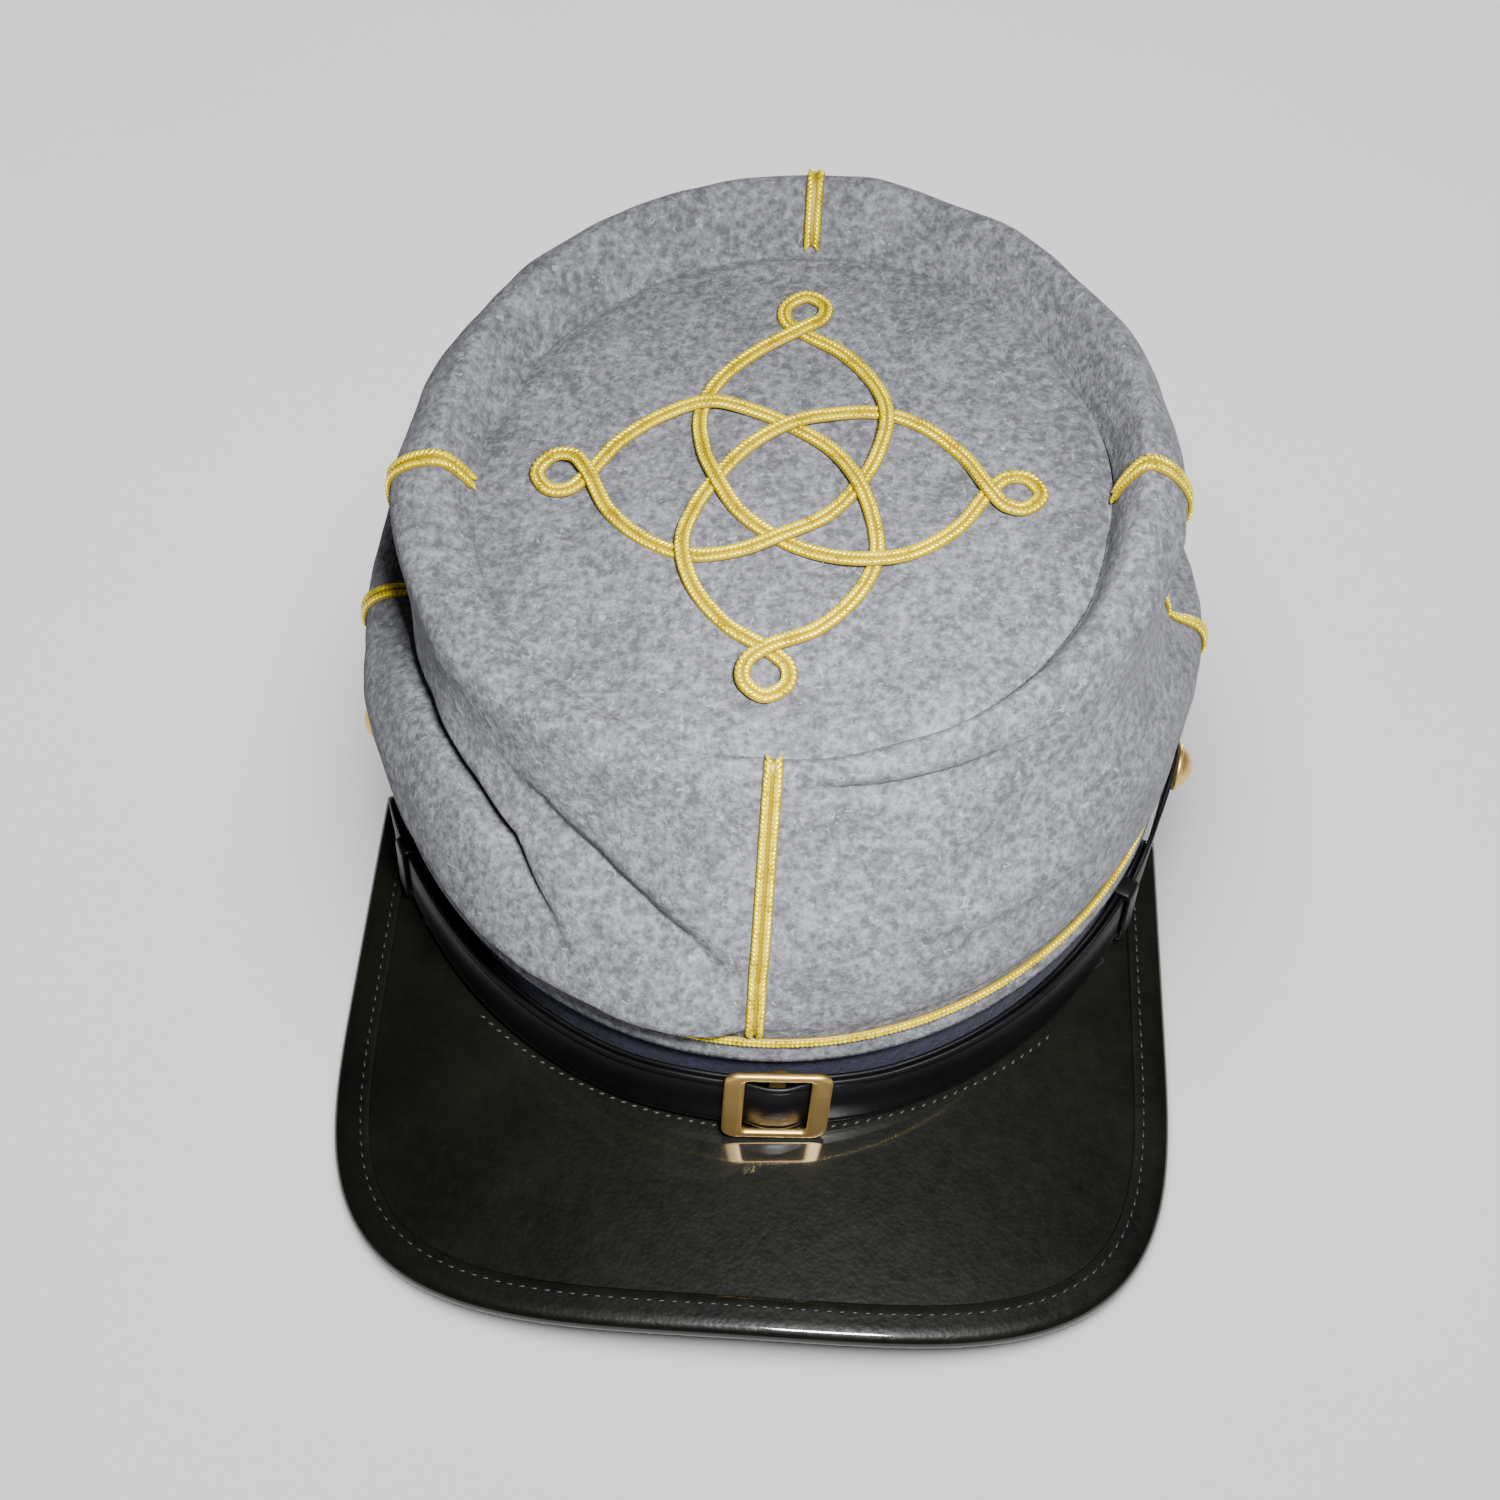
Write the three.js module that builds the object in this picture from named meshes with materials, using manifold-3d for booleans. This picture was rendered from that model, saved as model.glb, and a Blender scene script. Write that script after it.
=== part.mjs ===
import * as THREE from 'three';
import Module from 'manifold-3d';

// Kepi in millimetres. The cap is drawn upright about its own band: -Y is the visor, +X the
// wearer's left, +Z up, z = 0 the plane through the band's lower edge.
// One nested group then lays the whole cap down as it rests on a table.

// Band, a firm oval of navy cloth
const BAND_HALF_WIDTH = 88;
const BAND_HALF_LENGTH = 101;
const BAND_THICKNESS = 2.4;
const BAND_TOP = 29;
const BAND_REAR_EDGE = 2.3;
const BAND_SEGMENTS = 72;
const BAND_EDGE_CHANGE = [78, 132];

// How the cap rests: visor corners and the back of the band touch the table
const REST_TILT = THREE.MathUtils.degToRad(2.943);
const REST_SHIFT = new THREE.Vector3(-0.1, 20.16, 2.895);

// Grey wool of the crown
const CLOTH = 2;
const GAP = 0.3;
const FOOT_OUT = 1;
const FOOT_FLARE = 1.3;
const NECK = 38.5;
const LIP = 42;
const CROWN_SEGMENTS = 72;
const CROWN_FOOT_ROWS = 4;
const CROWN_WALL_ROWS = 18;
const CROWN_INNER_ROWS = 9;
const CROWN_SEAM_ROOM = 3;

// Round top, a flat disc that leans to the front and a little to one side
const TOP_RADIUS = 65.3;
const TOP_CENTRE = new THREE.Vector3(0.9, -6.4, 95.9);
const TOP_TILT = THREE.MathUtils.degToRad(6.5);
const TOP_LEAN = THREE.MathUtils.degToRad(3);
const TOP_DOME = 1.2;

// Crown wall, one row for each upright section. Azimuth turns from the front to +X. "At" is the
// share of the height from the neck to the top seam, "out" is millimetres away from the straight
// line between the two, and roll and crest are measured from the top seam.
const SECTION_COLUMNS = ['azimuth', 'lipOut', 'bulgeAt', 'bulgeOut', 'waistAt', 'waistOut',
  'rollOut', 'rollUp', 'crestOut', 'crestUp'];
const SECTIONS = [
  [0, 1.6, 0.35, 3.0, 0.70, 1.0, 3.0, -1.5, 1.0, 0.3],
  [35, 2.0, 0.36, 6.0, 0.70, 4.0, 6.0, -1.0, 2.5, 2.0],
  [62, 2.4, 0.36, 8.6, 0.68, 7.4, 11.0, 2.0, 4.5, 5.0],
  [80, 3.2, 0.33, 9.8, 0.60, 5.6, 13.4, 2.6, 5.2, 9.2],
  [92, 4.2, 0.29, 11.0, 0.54, 3.0, 14.0, 3.0, 5.5, 11.0],
  [108, 4.2, 0.30, 10.8, 0.60, 4.5, 14.0, 3.0, 6.5, 11.5],
  [135, 3.0, 0.38, 10.5, 0.72, 8.0, 14.8, 3.0, 8.0, 12.0],
  [180, 3.0, 0.38, 9.0, 0.72, 10.0, 17.0, 3.5, 10.0, 13.0],
  [225, 4.2, 0.36, 11.5, 0.70, 8.0, 17.5, 3.0, 8.5, 11.0],
  [252, 5.5, 0.29, 13.4, 0.56, 4.5, 16.0, 3.0, 8.0, 9.8],
  [270, 5.5, 0.20, 9.0, 0.42, 1.5, 16.0, 2.8, 7.0, 8.0],
  [284, 4.6, 0.24, 9.0, 0.50, 3.0, 15.0, 0.6, 6.5, 3.2],
  [298, 3.8, 0.28, 9.0, 0.62, 5.0, 13.4, -1.2, 6.0, 1.2],
  [325, 5.8, 0.33, 7.5, 0.66, 5.0, 9.0, -1.8, 4.0, 0.6],
  [345, 6.2, 0.35, 5.0, 0.68, 2.6, 5.0, -1.6, 2.2, 0.3],
  [355, 5.0, 0.35, 3.8, 0.69, 1.5, 3.6, -1.5, 1.4, 0.3],
].map((row) => Object.fromEntries(row.map((value, i) => [SECTION_COLUMNS[i], value])));

// Folds of the soft wall, each a row of points from end to end. "Share" is the place on the wall,
// 0 at the foot and 1 at the top seam, "depth" how far the cloth is drawn in. Distances from a fold
// are taken on the wall laid out flat, at so many millimetres to a degree and to its whole height.
const WALL_DEGREE = 1.45;
const WALL_HEIGHT = 95;
const FOLDS = [
  { name: 'deep fold from the side to the front quarter', halfWidth: 7.5, points: [
    { azimuth: 262, share: 0.36, depth: 0 },
    { azimuth: 271, share: 0.39, depth: 3.5 },
    { azimuth: 285, share: 0.48, depth: 6.8 },
    { azimuth: 299, share: 0.55, depth: 7.2 },
    { azimuth: 313, share: 0.55, depth: 6 },
    { azimuth: 322, share: 0.52, depth: 4.4 },
    { azimuth: 331, share: 0.40, depth: 2.6 },
    { azimuth: 337, share: 0.30, depth: 0 },
  ] },
  { name: 'groove behind the deep fold', halfWidth: 6, points: [
    { azimuth: 238, share: 0.48, depth: 0 },
    { azimuth: 248, share: 0.44, depth: 3 },
    { azimuth: 258, share: 0.41, depth: 5 },
    { azimuth: 268, share: 0.41, depth: 5.5 },
    { azimuth: 278, share: 0.44, depth: 4.5 },
    { azimuth: 290, share: 0.50, depth: 0 },
  ] },
  { name: 'second fold down to the foot of the front braid', halfWidth: 6, points: [
    { azimuth: 315, share: 0.66, depth: 0 },
    { azimuth: 325, share: 0.64, depth: 2.4 },
    { azimuth: 335, share: 0.60, depth: 3.6 },
    { azimuth: 343, share: 0.54, depth: 3.8 },
    { azimuth: 350, share: 0.47, depth: 3.2 },
    { azimuth: 356, share: 0.37, depth: 2 },
    { azimuth: 361, share: 0.31, depth: 0 },
  ] },
  { name: 'fold under the rim on the other side', halfWidth: 6.5, points: [
    { azimuth: 78, share: 0.44, depth: 0 },
    { azimuth: 84, share: 0.41, depth: 1.4 },
    { azimuth: 92, share: 0.38, depth: 4 },
    { azimuth: 100, share: 0.39, depth: 5 },
    { azimuth: 116, share: 0.43, depth: 4 },
    { azimuth: 132, share: 0.50, depth: 0 },
  ] },
  { name: 'soft hollow on the other front quarter', halfWidth: 8, points: [
    { azimuth: 5, share: 0.60, depth: 0 },
    { azimuth: 22, share: 0.54, depth: 1.6 },
    { azimuth: 39, share: 0.56, depth: 1.6 },
    { azimuth: 58, share: 0.50, depth: 0 },
  ] },
];

// Flat metallic braid sewn to the outside of the crown
const BRAID_THICKNESS = 1.3;
const BRAID_EDGE_ROUNDING = 0.3;
const BASE_BRAID_HEIGHT = 3.4;
const BASE_BRAID_Z = 35.7;
const SEAM_BRAID_WIDTH = 4;
const SEAM_BRAID_TOP_SHARE = 0.8;
const SEAM_BRAID_SEAT = 0.6;
const SEAM_BRAID_REACH = 0.005;
const SEAM_BRAIDS = [
  { name: 'braid_front', azimuth: 0 },
  { name: 'braid_right', azimuth: 88 },
  { name: 'braid_back', azimuth: 179 },
  { name: 'braid_left', azimuth: 272 },
];

// Knot of round braid on the top, one quarter of its closed line; "over" lifts a crossing
const KNOT_WIDTH = 3.4;
const KNOT_THICKNESS = 1.7;
const KNOT_OVER = 2;
const KNOT_CENTRE = new THREE.Vector2(-0.9, -0.9);
const KNOT_TURN = THREE.MathUtils.degToRad(2);
const KNOT_STEPS_PER_POINT = 2;
const KNOT_SECTION = [
  { across: -1, up: 0.3 },
  { across: -0.6, up: 1 },
  { across: 0.6, up: 1 },
  { across: 1, up: 0.3 },
  { across: 0, up: 0 },
];
const KNOT_QUARTER = [
  { u: 0, v: 41, over: 1 },
  { u: -9, v: 35.5, over: 0 },
  { u: -16.5, v: 26.5, over: 0 },
  { u: -19.4, v: 17.5, over: 0 },
  { u: -18, v: 8, over: 0.3 },
  { u: -14.6, v: 0, over: 1 },
  { u: -8.6, v: -8.6, over: 0.3 },
  { u: 0, v: -14.6, over: 0 },
  { u: 8, v: -18, over: 0.3 },
  { u: 17.5, v: -19.4, over: 1 },
  { u: 26.5, v: -16.5, over: 0.3 },
  { u: 35.5, v: -9, over: 0 },
  { u: 41, v: 0, over: 0 },
  { u: 44.6, v: 4, over: 0 },
  { u: 48.6, v: 4.1, over: 0 },
  { u: 51.5, v: 0, over: 0.2 },
  { u: 48.6, v: -4.1, over: 0.5 },
  { u: 44.6, v: -4, over: 0.8 },
];

// Visor, one thick leather plate with a folded leather binding sewn round its free edge
const VISOR_THICKNESS = 2.4;
const VISOR_HALF_WIDTH = 91.1;
const VISOR_CORNER_START = -71.8;
const VISOR_CORNER_LENGTH = 76.3;
const VISOR_CORNER_POWER = 3.63;
const VISOR_REAR = -25;
const VISOR_HEIGHT = 1.9;
const VISOR_SLOPE = THREE.MathUtils.degToRad(5.6);
const VISOR_DROOP = 7;
const VISOR_DROOP_AT = 95;
const VISOR_STEPS = 50;
const VISOR_ROWS = 4;
const BINDING_THICKNESS = 0.8;
const BINDING_TOP_WIDTH = 8;
const BINDING_UNDER_WIDTH = 5;

// Chin strap of two leather layers that slide on each other, each held by a keeper at its tip
const STRAP_WIDTH = 15.5;
const STRAP_THICKNESS = 1.1;
const STRAP_GAP = 0.25;
const LAYER = STRAP_THICKNESS + STRAP_GAP;
const STRAP_STEP = 4;
const STRAP_TIP = [[3.6, 0.86], [6.4, 0.55], [7.8, 0.2]];
const STRAP_COLUMNS = ['azimuth', 'height', 'out', 'lean'];
const STRAP_LINE = [
  [0, 12.2, 0.4, 4],
  [6, 12.0, 0.4, 4],
  [20, 10.6, 0.4, 4],
  [45, 11.6, 0.8, 4],
  [60, 15.4, 1.8, 2],
  [70, 19.8, 2.0, 0],
  [80, 24.4, 2.7, 0],
  [88, 25.0, 2.7, 0],
].map((row) => Object.fromEntries(row.map((value, i) => [STRAP_COLUMNS[i], value])));
const BUTTON_AZIMUTH = 80;
const KEEPER_AZIMUTH = 60;
const KEEPER_WIDTH = 5;
const KEEPER_THICKNESS = 0.9;
const TIP_AZIMUTH = 64;
const DEGREE = 1.6;

// Brass slide buckle, a flat frame with a middle bar set lower for the strap to pass over. Its
// middle is a little above the strap's. Stations are degrees to each side of its middle.
const BUCKLE_AZIMUTH = 3.2;
const BUCKLE_WIDTH = 22.2;
const BUCKLE_HEIGHT = 23.6;
const BUCKLE_RAISED = 2;
const BUCKLE_SIDE_BAR = 4.2;
const BUCKLE_TOP_BAR = 1.8;
const BUCKLE_THICKNESS = 1.5;
const BUCKLE_BEVEL = 0.35;
const BUCKLE_CORNER = 3;
const BUCKLE_LOW = 2 * LAYER + 0.2;
const BUCKLE_MIDDLE_BAR = 3.4;
const BUCKLE_MIDDLE_BAR_THICKNESS = 0.95;
const BUCKLE_BEND = [1.5, 3.6];
const BUCKLE_STATIONS = [0, 1.5, 3.6, 6];

// Domed brass button over each end of the strap
const BUTTON_RADIUS = 5.6;
const BUTTON_DOME = 3;
const BUTTON_EDGE = 1;
const BUTTON_EDGE_RISE = 0.3;
const BUTTON_DOME_CURVE = [
  { radius: 0.93, rise: 0.42 },
  { radius: 0.7, rise: 0.76 },
  { radius: 0.38, rise: 0.95 },
];
const BUTTON_RIM = 1;
const BUTTON_STEPS = 24;

const UP = new THREE.Vector3(0, 0, 1);

function periodic(rows, key, azimuth) {
  // Smooth value between the rows of a table that closes on itself
  const count = rows.length;
  const at = ((azimuth % 360) + 360) % 360;
  let i = count - 1;
  while (rows[i].azimuth > at) i -= 1;
  const row = (k) => rows[(k + count) % count];
  const place = (k) => row(k).azimuth + 360 * Math.floor(k / count);
  const slope = (k) => (row(k + 1)[key] - row(k - 1)[key]) / (place(k + 1) - place(k - 1));
  const span = place(i + 1) - place(i);
  const t = (at - place(i)) / span;
  const t2 = t * t;
  const t3 = t2 * t;
  return (2 * t3 - 3 * t2 + 1) * row(i)[key] + (t3 - 2 * t2 + t) * span * slope(i)
    + (3 * t2 - 2 * t3) * row(i + 1)[key] + (t3 - t2) * span * slope(i + 1);
}

function between(rows, by, key, at) {
  // Eased value between the rows of an open table
  let i = 0;
  while (i < rows.length - 2 && rows[i + 1][by] < at) i += 1;
  const t = THREE.MathUtils.smoothstep(at, rows[i][by], rows[i + 1][by]);
  return THREE.MathUtils.lerp(rows[i][key], rows[i + 1][key], t);
}

function outward(azimuth) {
  const a = THREE.MathUtils.degToRad(azimuth);
  return new THREE.Vector3(Math.sin(a), -Math.cos(a), 0);
}

function ovalNormal(azimuth) {
  const d = outward(azimuth);
  return new THREE.Vector3(d.x / BAND_HALF_WIDTH, d.y / BAND_HALF_LENGTH, 0).normalize();
}

function onOval(azimuth, out, z) {
  const d = outward(azimuth);
  return new THREE.Vector3(BAND_HALF_WIDTH * d.x, BAND_HALF_LENGTH * d.y, z)
    .addScaledVector(ovalNormal(azimuth), out);
}

const TOP_RIGHT = new THREE.Vector3(Math.cos(TOP_LEAN), 0, Math.sin(TOP_LEAN));
const TOP_BACK = new THREE.Vector3(0, Math.cos(TOP_TILT), Math.sin(TOP_TILT));
const TOP_NORMAL = new THREE.Vector3().crossVectors(TOP_RIGHT, TOP_BACK).normalize();

function onTop(u, v, up) {
  const dome = TOP_DOME * (1 - (u * u + v * v) / TOP_RADIUS ** 2);
  return TOP_CENTRE.clone().addScaledVector(TOP_RIGHT, u).addScaledVector(TOP_BACK, v)
    .addScaledVector(TOP_NORMAL, up + Math.max(dome, 0));
}

function seamPoint(azimuth) {
  const d = outward(azimuth);
  return onTop(TOP_RADIUS * d.x, TOP_RADIUS * d.y, 0);
}

const profileCache = new Map();

function profile(azimuth) {
  // Section of the outer face without folds, a smooth line from the foot to the top seam
  if (!profileCache.has(azimuth)) {
    const value = (key) => periodic(SECTIONS, key, azimuth);
    const d = outward(azimuth);
    const neck = onOval(azimuth, FOOT_OUT, NECK);
    const seam = seamPoint(azimuth);
    const along = (at, out) => neck.clone().lerp(seam, at).addScaledVector(d, out);
    const lip = neck.clone().addScaledVector(d, value('lipOut') - FOOT_OUT);
    lip.z = LIP;
    const line = new THREE.CatmullRomCurve3([
      onOval(azimuth, FOOT_OUT + FOOT_FLARE, BAND_TOP + GAP),
      onOval(azimuth, FOOT_OUT + FOOT_FLARE * 0.7, BAND_TOP + GAP + 1.6),
      onOval(azimuth, FOOT_OUT, BASE_BRAID_Z - BASE_BRAID_HEIGHT / 2),
      neck,
      lip,
      along(value('bulgeAt'), value('bulgeOut')),
      along(value('waistAt'), value('waistOut')),
      seam.clone().addScaledVector(d, value('rollOut')).addScaledVector(UP, value('rollUp')),
      seam.clone().addScaledVector(d, value('crestOut')).addScaledVector(UP, value('crestUp')),
      seam,
    ], false, 'centripetal');
    line.arcLengthDivisions = 120;
    profileCache.set(azimuth, line);
  }
  return profileCache.get(azimuth);
}

function foldDepth(azimuth, share) {
  // How far the folds draw the cloth in at one place of the wall
  let depth = 0;
  for (const { points, halfWidth } of FOLDS) {
    for (const turn of [-360, 0, 360]) {
      for (let i = 0; i + 1 < points.length; i += 1) {
        const a = points[i];
        const b = points[i + 1];
        const ax = (a.azimuth + turn - azimuth) * WALL_DEGREE;
        const bx = (b.azimuth + turn - azimuth) * WALL_DEGREE;
        const ay = (a.share - share) * WALL_HEIGHT;
        const by = (b.share - share) * WALL_HEIGHT;
        const length2 = (bx - ax) ** 2 + (by - ay) ** 2;
        const t = THREE.MathUtils.clamp(-(ax * (bx - ax) + ay * (by - ay)) / length2, 0, 1);
        const away = Math.hypot(ax + t * (bx - ax), ay + t * (by - ay)) / halfWidth;
        const here = THREE.MathUtils.lerp(a.depth, b.depth, t) * Math.exp(-away * away);
        depth = Math.max(depth, here);
      }
    }
  }
  return depth;
}

function wallFrame(azimuth, share) {
  // Point and outward normal of the unfolded wall
  const s = THREE.MathUtils.clamp(share, 0, 1);
  const point = profile(azimuth).getPointAt(s);
  const rise = profile(azimuth).getTangentAt(s);
  const step = 1;
  const ahead = profile(azimuth + step).getPointAt(s);
  const behind = profile(azimuth - step).getPointAt(s);
  const normal = new THREE.Vector3().crossVectors(ahead.sub(behind), rise).normalize();
  return { point, normal };
}

function onWall(azimuth, share, out) {
  const { point, normal } = wallFrame(azimuth, share);
  return point.addScaledVector(normal, out - foldDepth(azimuth, share));
}

function closedMesh(positions, indices) {
  // Closed surface from shared points, its faces turned outward
  let volume = 0;
  for (let i = 0; i < indices.length; i += 3) {
    const [a, b, c] = [positions[indices[i]], positions[indices[i + 1]], positions[indices[i + 2]]];
    volume += a.dot(new THREE.Vector3().crossVectors(b, c));
  }
  if (volume < 0) {
    for (let i = 0; i < indices.length; i += 3) {
      [indices[i + 1], indices[i + 2]] = [indices[i + 2], indices[i + 1]];
    }
  }
  const geometry = new THREE.BufferGeometry();
  geometry.setAttribute('position', new THREE.Float32BufferAttribute(
    positions.flatMap((p) => [p.x, p.y, p.z]), 3));
  geometry.setIndex(indices);
  geometry.computeVertexNormals();
  return geometry;
}

function endFace(outline, start, reverse) {
  // Triangles that close one end of an open run, drawn in the outline's own plane
  const normal = new THREE.Vector3();
  for (let j = 0; j < outline.length; j += 1) {
    normal.add(new THREE.Vector3().crossVectors(outline[j], outline[(j + 1) % outline.length]));
  }
  const across = outline[1].clone().sub(outline[0]).normalize();
  const up = new THREE.Vector3().crossVectors(normal.normalize(), across);
  const flat = outline.map((p) => new THREE.Vector2(p.dot(across), p.dot(up)));
  return THREE.ShapeUtils.triangulateShape(flat, []).flatMap((face) => {
    const backward = THREE.ShapeUtils.area(face.map((j) => flat[j])) < 0;
    const turned = backward === reverse ? face : [...face].reverse();
    return turned.map((j) => start + j);
  });
}

function loft(sections, closed) {
  // Skin over outlines with the same number of points; an open run gets a flat cap at each end
  const count = sections[0].length;
  const positions = sections.flat();
  const indices = [];
  const last = closed ? sections.length : sections.length - 1;
  for (let i = 0; i < last; i += 1) {
    const here = i * count;
    const next = ((i + 1) % sections.length) * count;
    for (let j = 0; j < count; j += 1) {
      const k = (j + 1) % count;
      indices.push(here + j, next + j, next + k, here + j, next + k, here + k);
    }
  }
  if (!closed) {
    indices.push(...endFace(sections[0], 0, false), ...endFace(sections.at(-1), last * count, true));
  }
  return closedMesh(positions, indices);
}

function poleShell(first, rings, last) {
  // Closed skin from one pole over rings to the other pole
  const count = rings[0].length;
  const positions = [first, ...rings.flat(), last];
  const indices = [];
  for (let j = 0; j < count; j += 1) {
    const k = (j + 1) % count;
    indices.push(0, 1 + j, 1 + k);
    for (let i = 0; i + 1 < rings.length; i += 1) {
      const here = 1 + i * count;
      const next = here + count;
      indices.push(here + j, next + j, next + k, here + j, next + k, here + k);
    }
    const end = 1 + (rings.length - 1) * count;
    indices.push(positions.length - 1, end + k, end + j);
  }
  return closedMesh(positions, indices);
}

function rowShare(azimuth, row) {
  // Share of the wall at a row, row 0 at the neck and negative rows below it
  const neck = (NECK - BAND_TOP - GAP) / profile(azimuth).getLength();
  return row < 0 ? neck * (1 + row / CROWN_FOOT_ROWS) : neck + ((1 - neck) * row) / CROWN_WALL_ROWS;
}

function azimuths(count) {
  return Array.from({ length: count }, (_, i) => (360 * i) / count);
}

// Crown wall: outer face from foot to top seam, then the inner face back down
function crownSide() {
  const sections = azimuths(CROWN_SEGMENTS).map((azimuth) => {
    const section = [];
    for (let row = -CROWN_FOOT_ROWS; row <= CROWN_WALL_ROWS; row += 1) {
      section.push(onWall(azimuth, rowShare(azimuth, row), 0));
    }
    section.push(section.at(-1).clone().addScaledVector(TOP_NORMAL, -CLOTH));
    const highest = 1 - CROWN_SEAM_ROOM / profile(azimuth).getLength();
    for (let row = CROWN_INNER_ROWS; row > 0; row -= 1) {
      section.push(onWall(azimuth, (highest * row) / CROWN_INNER_ROWS, -CLOTH));
    }
    section.push(onOval(azimuth, FOOT_OUT + FOOT_FLARE - CLOTH, BAND_TOP + GAP));
    return section;
  });
  return loft(sections, true);
}

// Round top: shallow dome of the same cloth inside the seam
function crownTop() {
  const edge = TOP_RADIUS - GAP;
  const ring = (radius, up) => azimuths(CROWN_SEGMENTS).map((azimuth) => {
    const d = outward(azimuth);
    return onTop(radius * d.x, radius * d.y, up);
  });
  return poleShell(onTop(0, 0, 0),
    [ring(edge / 3, 0), ring((2 * edge) / 3, 0), ring(edge, 0), ring(edge, -CLOTH),
      ring((2 * edge) / 3, -CLOTH), ring(edge / 3, -CLOTH)],
    onTop(0, 0, -CLOTH));
}

function visorTop(x, y) {
  return VISOR_HEIGHT + (y + BAND_HALF_LENGTH) * Math.tan(VISOR_SLOPE)
    - VISOR_DROOP * (x / VISOR_DROOP_AT) ** 2;
}

function restPlane(y) {
  // Height of the table under the cap, in the cap's own frame
  return BAND_REAR_EDGE - (BAND_HALF_LENGTH - y) * Math.tan(REST_TILT);
}

function bandEdge(azimuth, point) {
  // The band stands on the visor in front and lies flat on the table behind
  const side = Math.abs(((azimuth + 180) % 360) - 180);
  const visorEnd = visorTop(point.x, point.y) + GAP;
  const toTable = THREE.MathUtils.smoothstep(side, ...BAND_EDGE_CHANGE);
  return THREE.MathUtils.lerp(visorEnd, restPlane(point.y), toTable);
}

function band() {
  const sections = azimuths(BAND_SEGMENTS).map((azimuth) => {
    const corners = [];
    for (const out of [0, -BAND_THICKNESS]) {
      const low = onOval(azimuth, out, 0);
      low.z = bandEdge(azimuth, low);
      corners.push([low, onOval(azimuth, out, BAND_TOP)]);
    }
    return [corners[0][0], corners[0][1], corners[1][1], corners[1][0]];
  });
  return loft(sections, true);
}

function baseBraid() {
  const low = BASE_BRAID_Z - BASE_BRAID_HEIGHT / 2;
  const high = BASE_BRAID_Z + BASE_BRAID_HEIGHT / 2;
  const inner = FOOT_OUT + GAP;
  const outer = inner + BRAID_THICKNESS;
  return loft(azimuths(BAND_SEGMENTS).map((azimuth) => [
    onOval(azimuth, inner, low),
    onOval(azimuth, outer - BRAID_EDGE_ROUNDING, low),
    onOval(azimuth, outer, BASE_BRAID_Z),
    onOval(azimuth, outer - BRAID_EDGE_ROUNDING, high),
    onOval(azimuth, inner, high),
  ]), true);
}

// Upright braid over a seam of the wall, from the base braid over the roll to the top seam
function seamBraid({ azimuth }) {
  const sections = [];
  for (let row = 0; row < CROWN_WALL_ROWS; row += 1) {
    const share = rowShare(azimuth, row);
    const { normal } = wallFrame(azimuth, share);
    const middle = onWall(azimuth, share, 0);
    const above = onWall(azimuth, share + SEAM_BRAID_REACH, 0);
    const below = onWall(azimuth, share - SEAM_BRAID_REACH, 0);
    const rise = above.sub(below).normalize();
    const across = new THREE.Vector3().crossVectors(rise, normal).normalize();
    const up = new THREE.Vector3().crossVectors(across, rise).normalize();
    const half = SEAM_BRAID_WIDTH / 2;
    const corner = (side, out) => middle.clone().addScaledVector(across, side * half)
      .addScaledVector(up, out);
    const top = SEAM_BRAID_SEAT + BRAID_THICKNESS;
    sections.push([
      corner(-1, SEAM_BRAID_SEAT),
      corner(-SEAM_BRAID_TOP_SHARE, top),
      corner(SEAM_BRAID_TOP_SHARE, top),
      corner(1, SEAM_BRAID_SEAT),
    ]);
  }
  return loft(sections, false);
}

// Knot: one closed line, four equal quarters, each strand in turn over and under
function knot() {
  const points = [];
  for (let quarter = 0; quarter < 4; quarter += 1) {
    for (const { u, v, over } of KNOT_QUARTER) {
      const turn = (-Math.PI / 2) * quarter - KNOT_TURN;
      const flat = new THREE.Vector2(u, v).rotateAround(new THREE.Vector2(), turn);
      points.push(new THREE.Vector3(flat.x, flat.y, over * KNOT_OVER));
    }
  }
  const line = new THREE.CatmullRomCurve3(points, true, 'centripetal');
  const steps = points.length * KNOT_STEPS_PER_POINT;
  const sections = [];
  for (let i = 0; i < steps; i += 1) {
    const p = line.getPoint(i / steps);
    const t = line.getTangent(i / steps);
    const side = new THREE.Vector2(-t.y, t.x).normalize();
    const corner = (across, up) => onTop(
      KNOT_CENTRE.x + p.x + (side.x * across * KNOT_WIDTH) / 2,
      KNOT_CENTRE.y + p.y + (side.y * across * KNOT_WIDTH) / 2,
      GAP + p.z + up * KNOT_THICKNESS);
    sections.push(KNOT_SECTION.map(({ across, up }) => corner(across, up)));
  }
  return loft(sections, true);
}

function visorOutline() {
  // Free edge from the rear corner on +X round the front to the other, at even steps
  const dense = 400;
  const points = [new THREE.Vector2(VISOR_HALF_WIDTH, VISOR_REAR)];
  const power = 2 / VISOR_CORNER_POWER;
  for (let i = 0; i <= dense; i += 1) {
    const angle = (Math.PI * i) / dense;
    points.push(new THREE.Vector2(
      VISOR_HALF_WIDTH * Math.sign(Math.cos(angle)) * Math.abs(Math.cos(angle)) ** power,
      VISOR_CORNER_START - VISOR_CORNER_LENGTH * Math.abs(Math.sin(angle)) ** power));
  }
  points.push(new THREE.Vector2(-VISOR_HALF_WIDTH, VISOR_REAR));
  const lengths = [0];
  for (let i = 1; i < points.length; i += 1) {
    lengths.push(lengths[i - 1] + points[i].distanceTo(points[i - 1]));
  }
  const even = [];
  let k = 0;
  for (let step = 0; step <= VISOR_STEPS; step += 1) {
    const target = (lengths.at(-1) * step) / VISOR_STEPS;
    while (k < points.length - 2 && lengths[k + 1] < target) k += 1;
    const share = (target - lengths[k]) / (lengths[k + 1] - lengths[k]);
    even.push(points[k].clone().lerp(points[k + 1], share));
  }
  return even;
}

const VISOR_OUTLINE = visorOutline();

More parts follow.
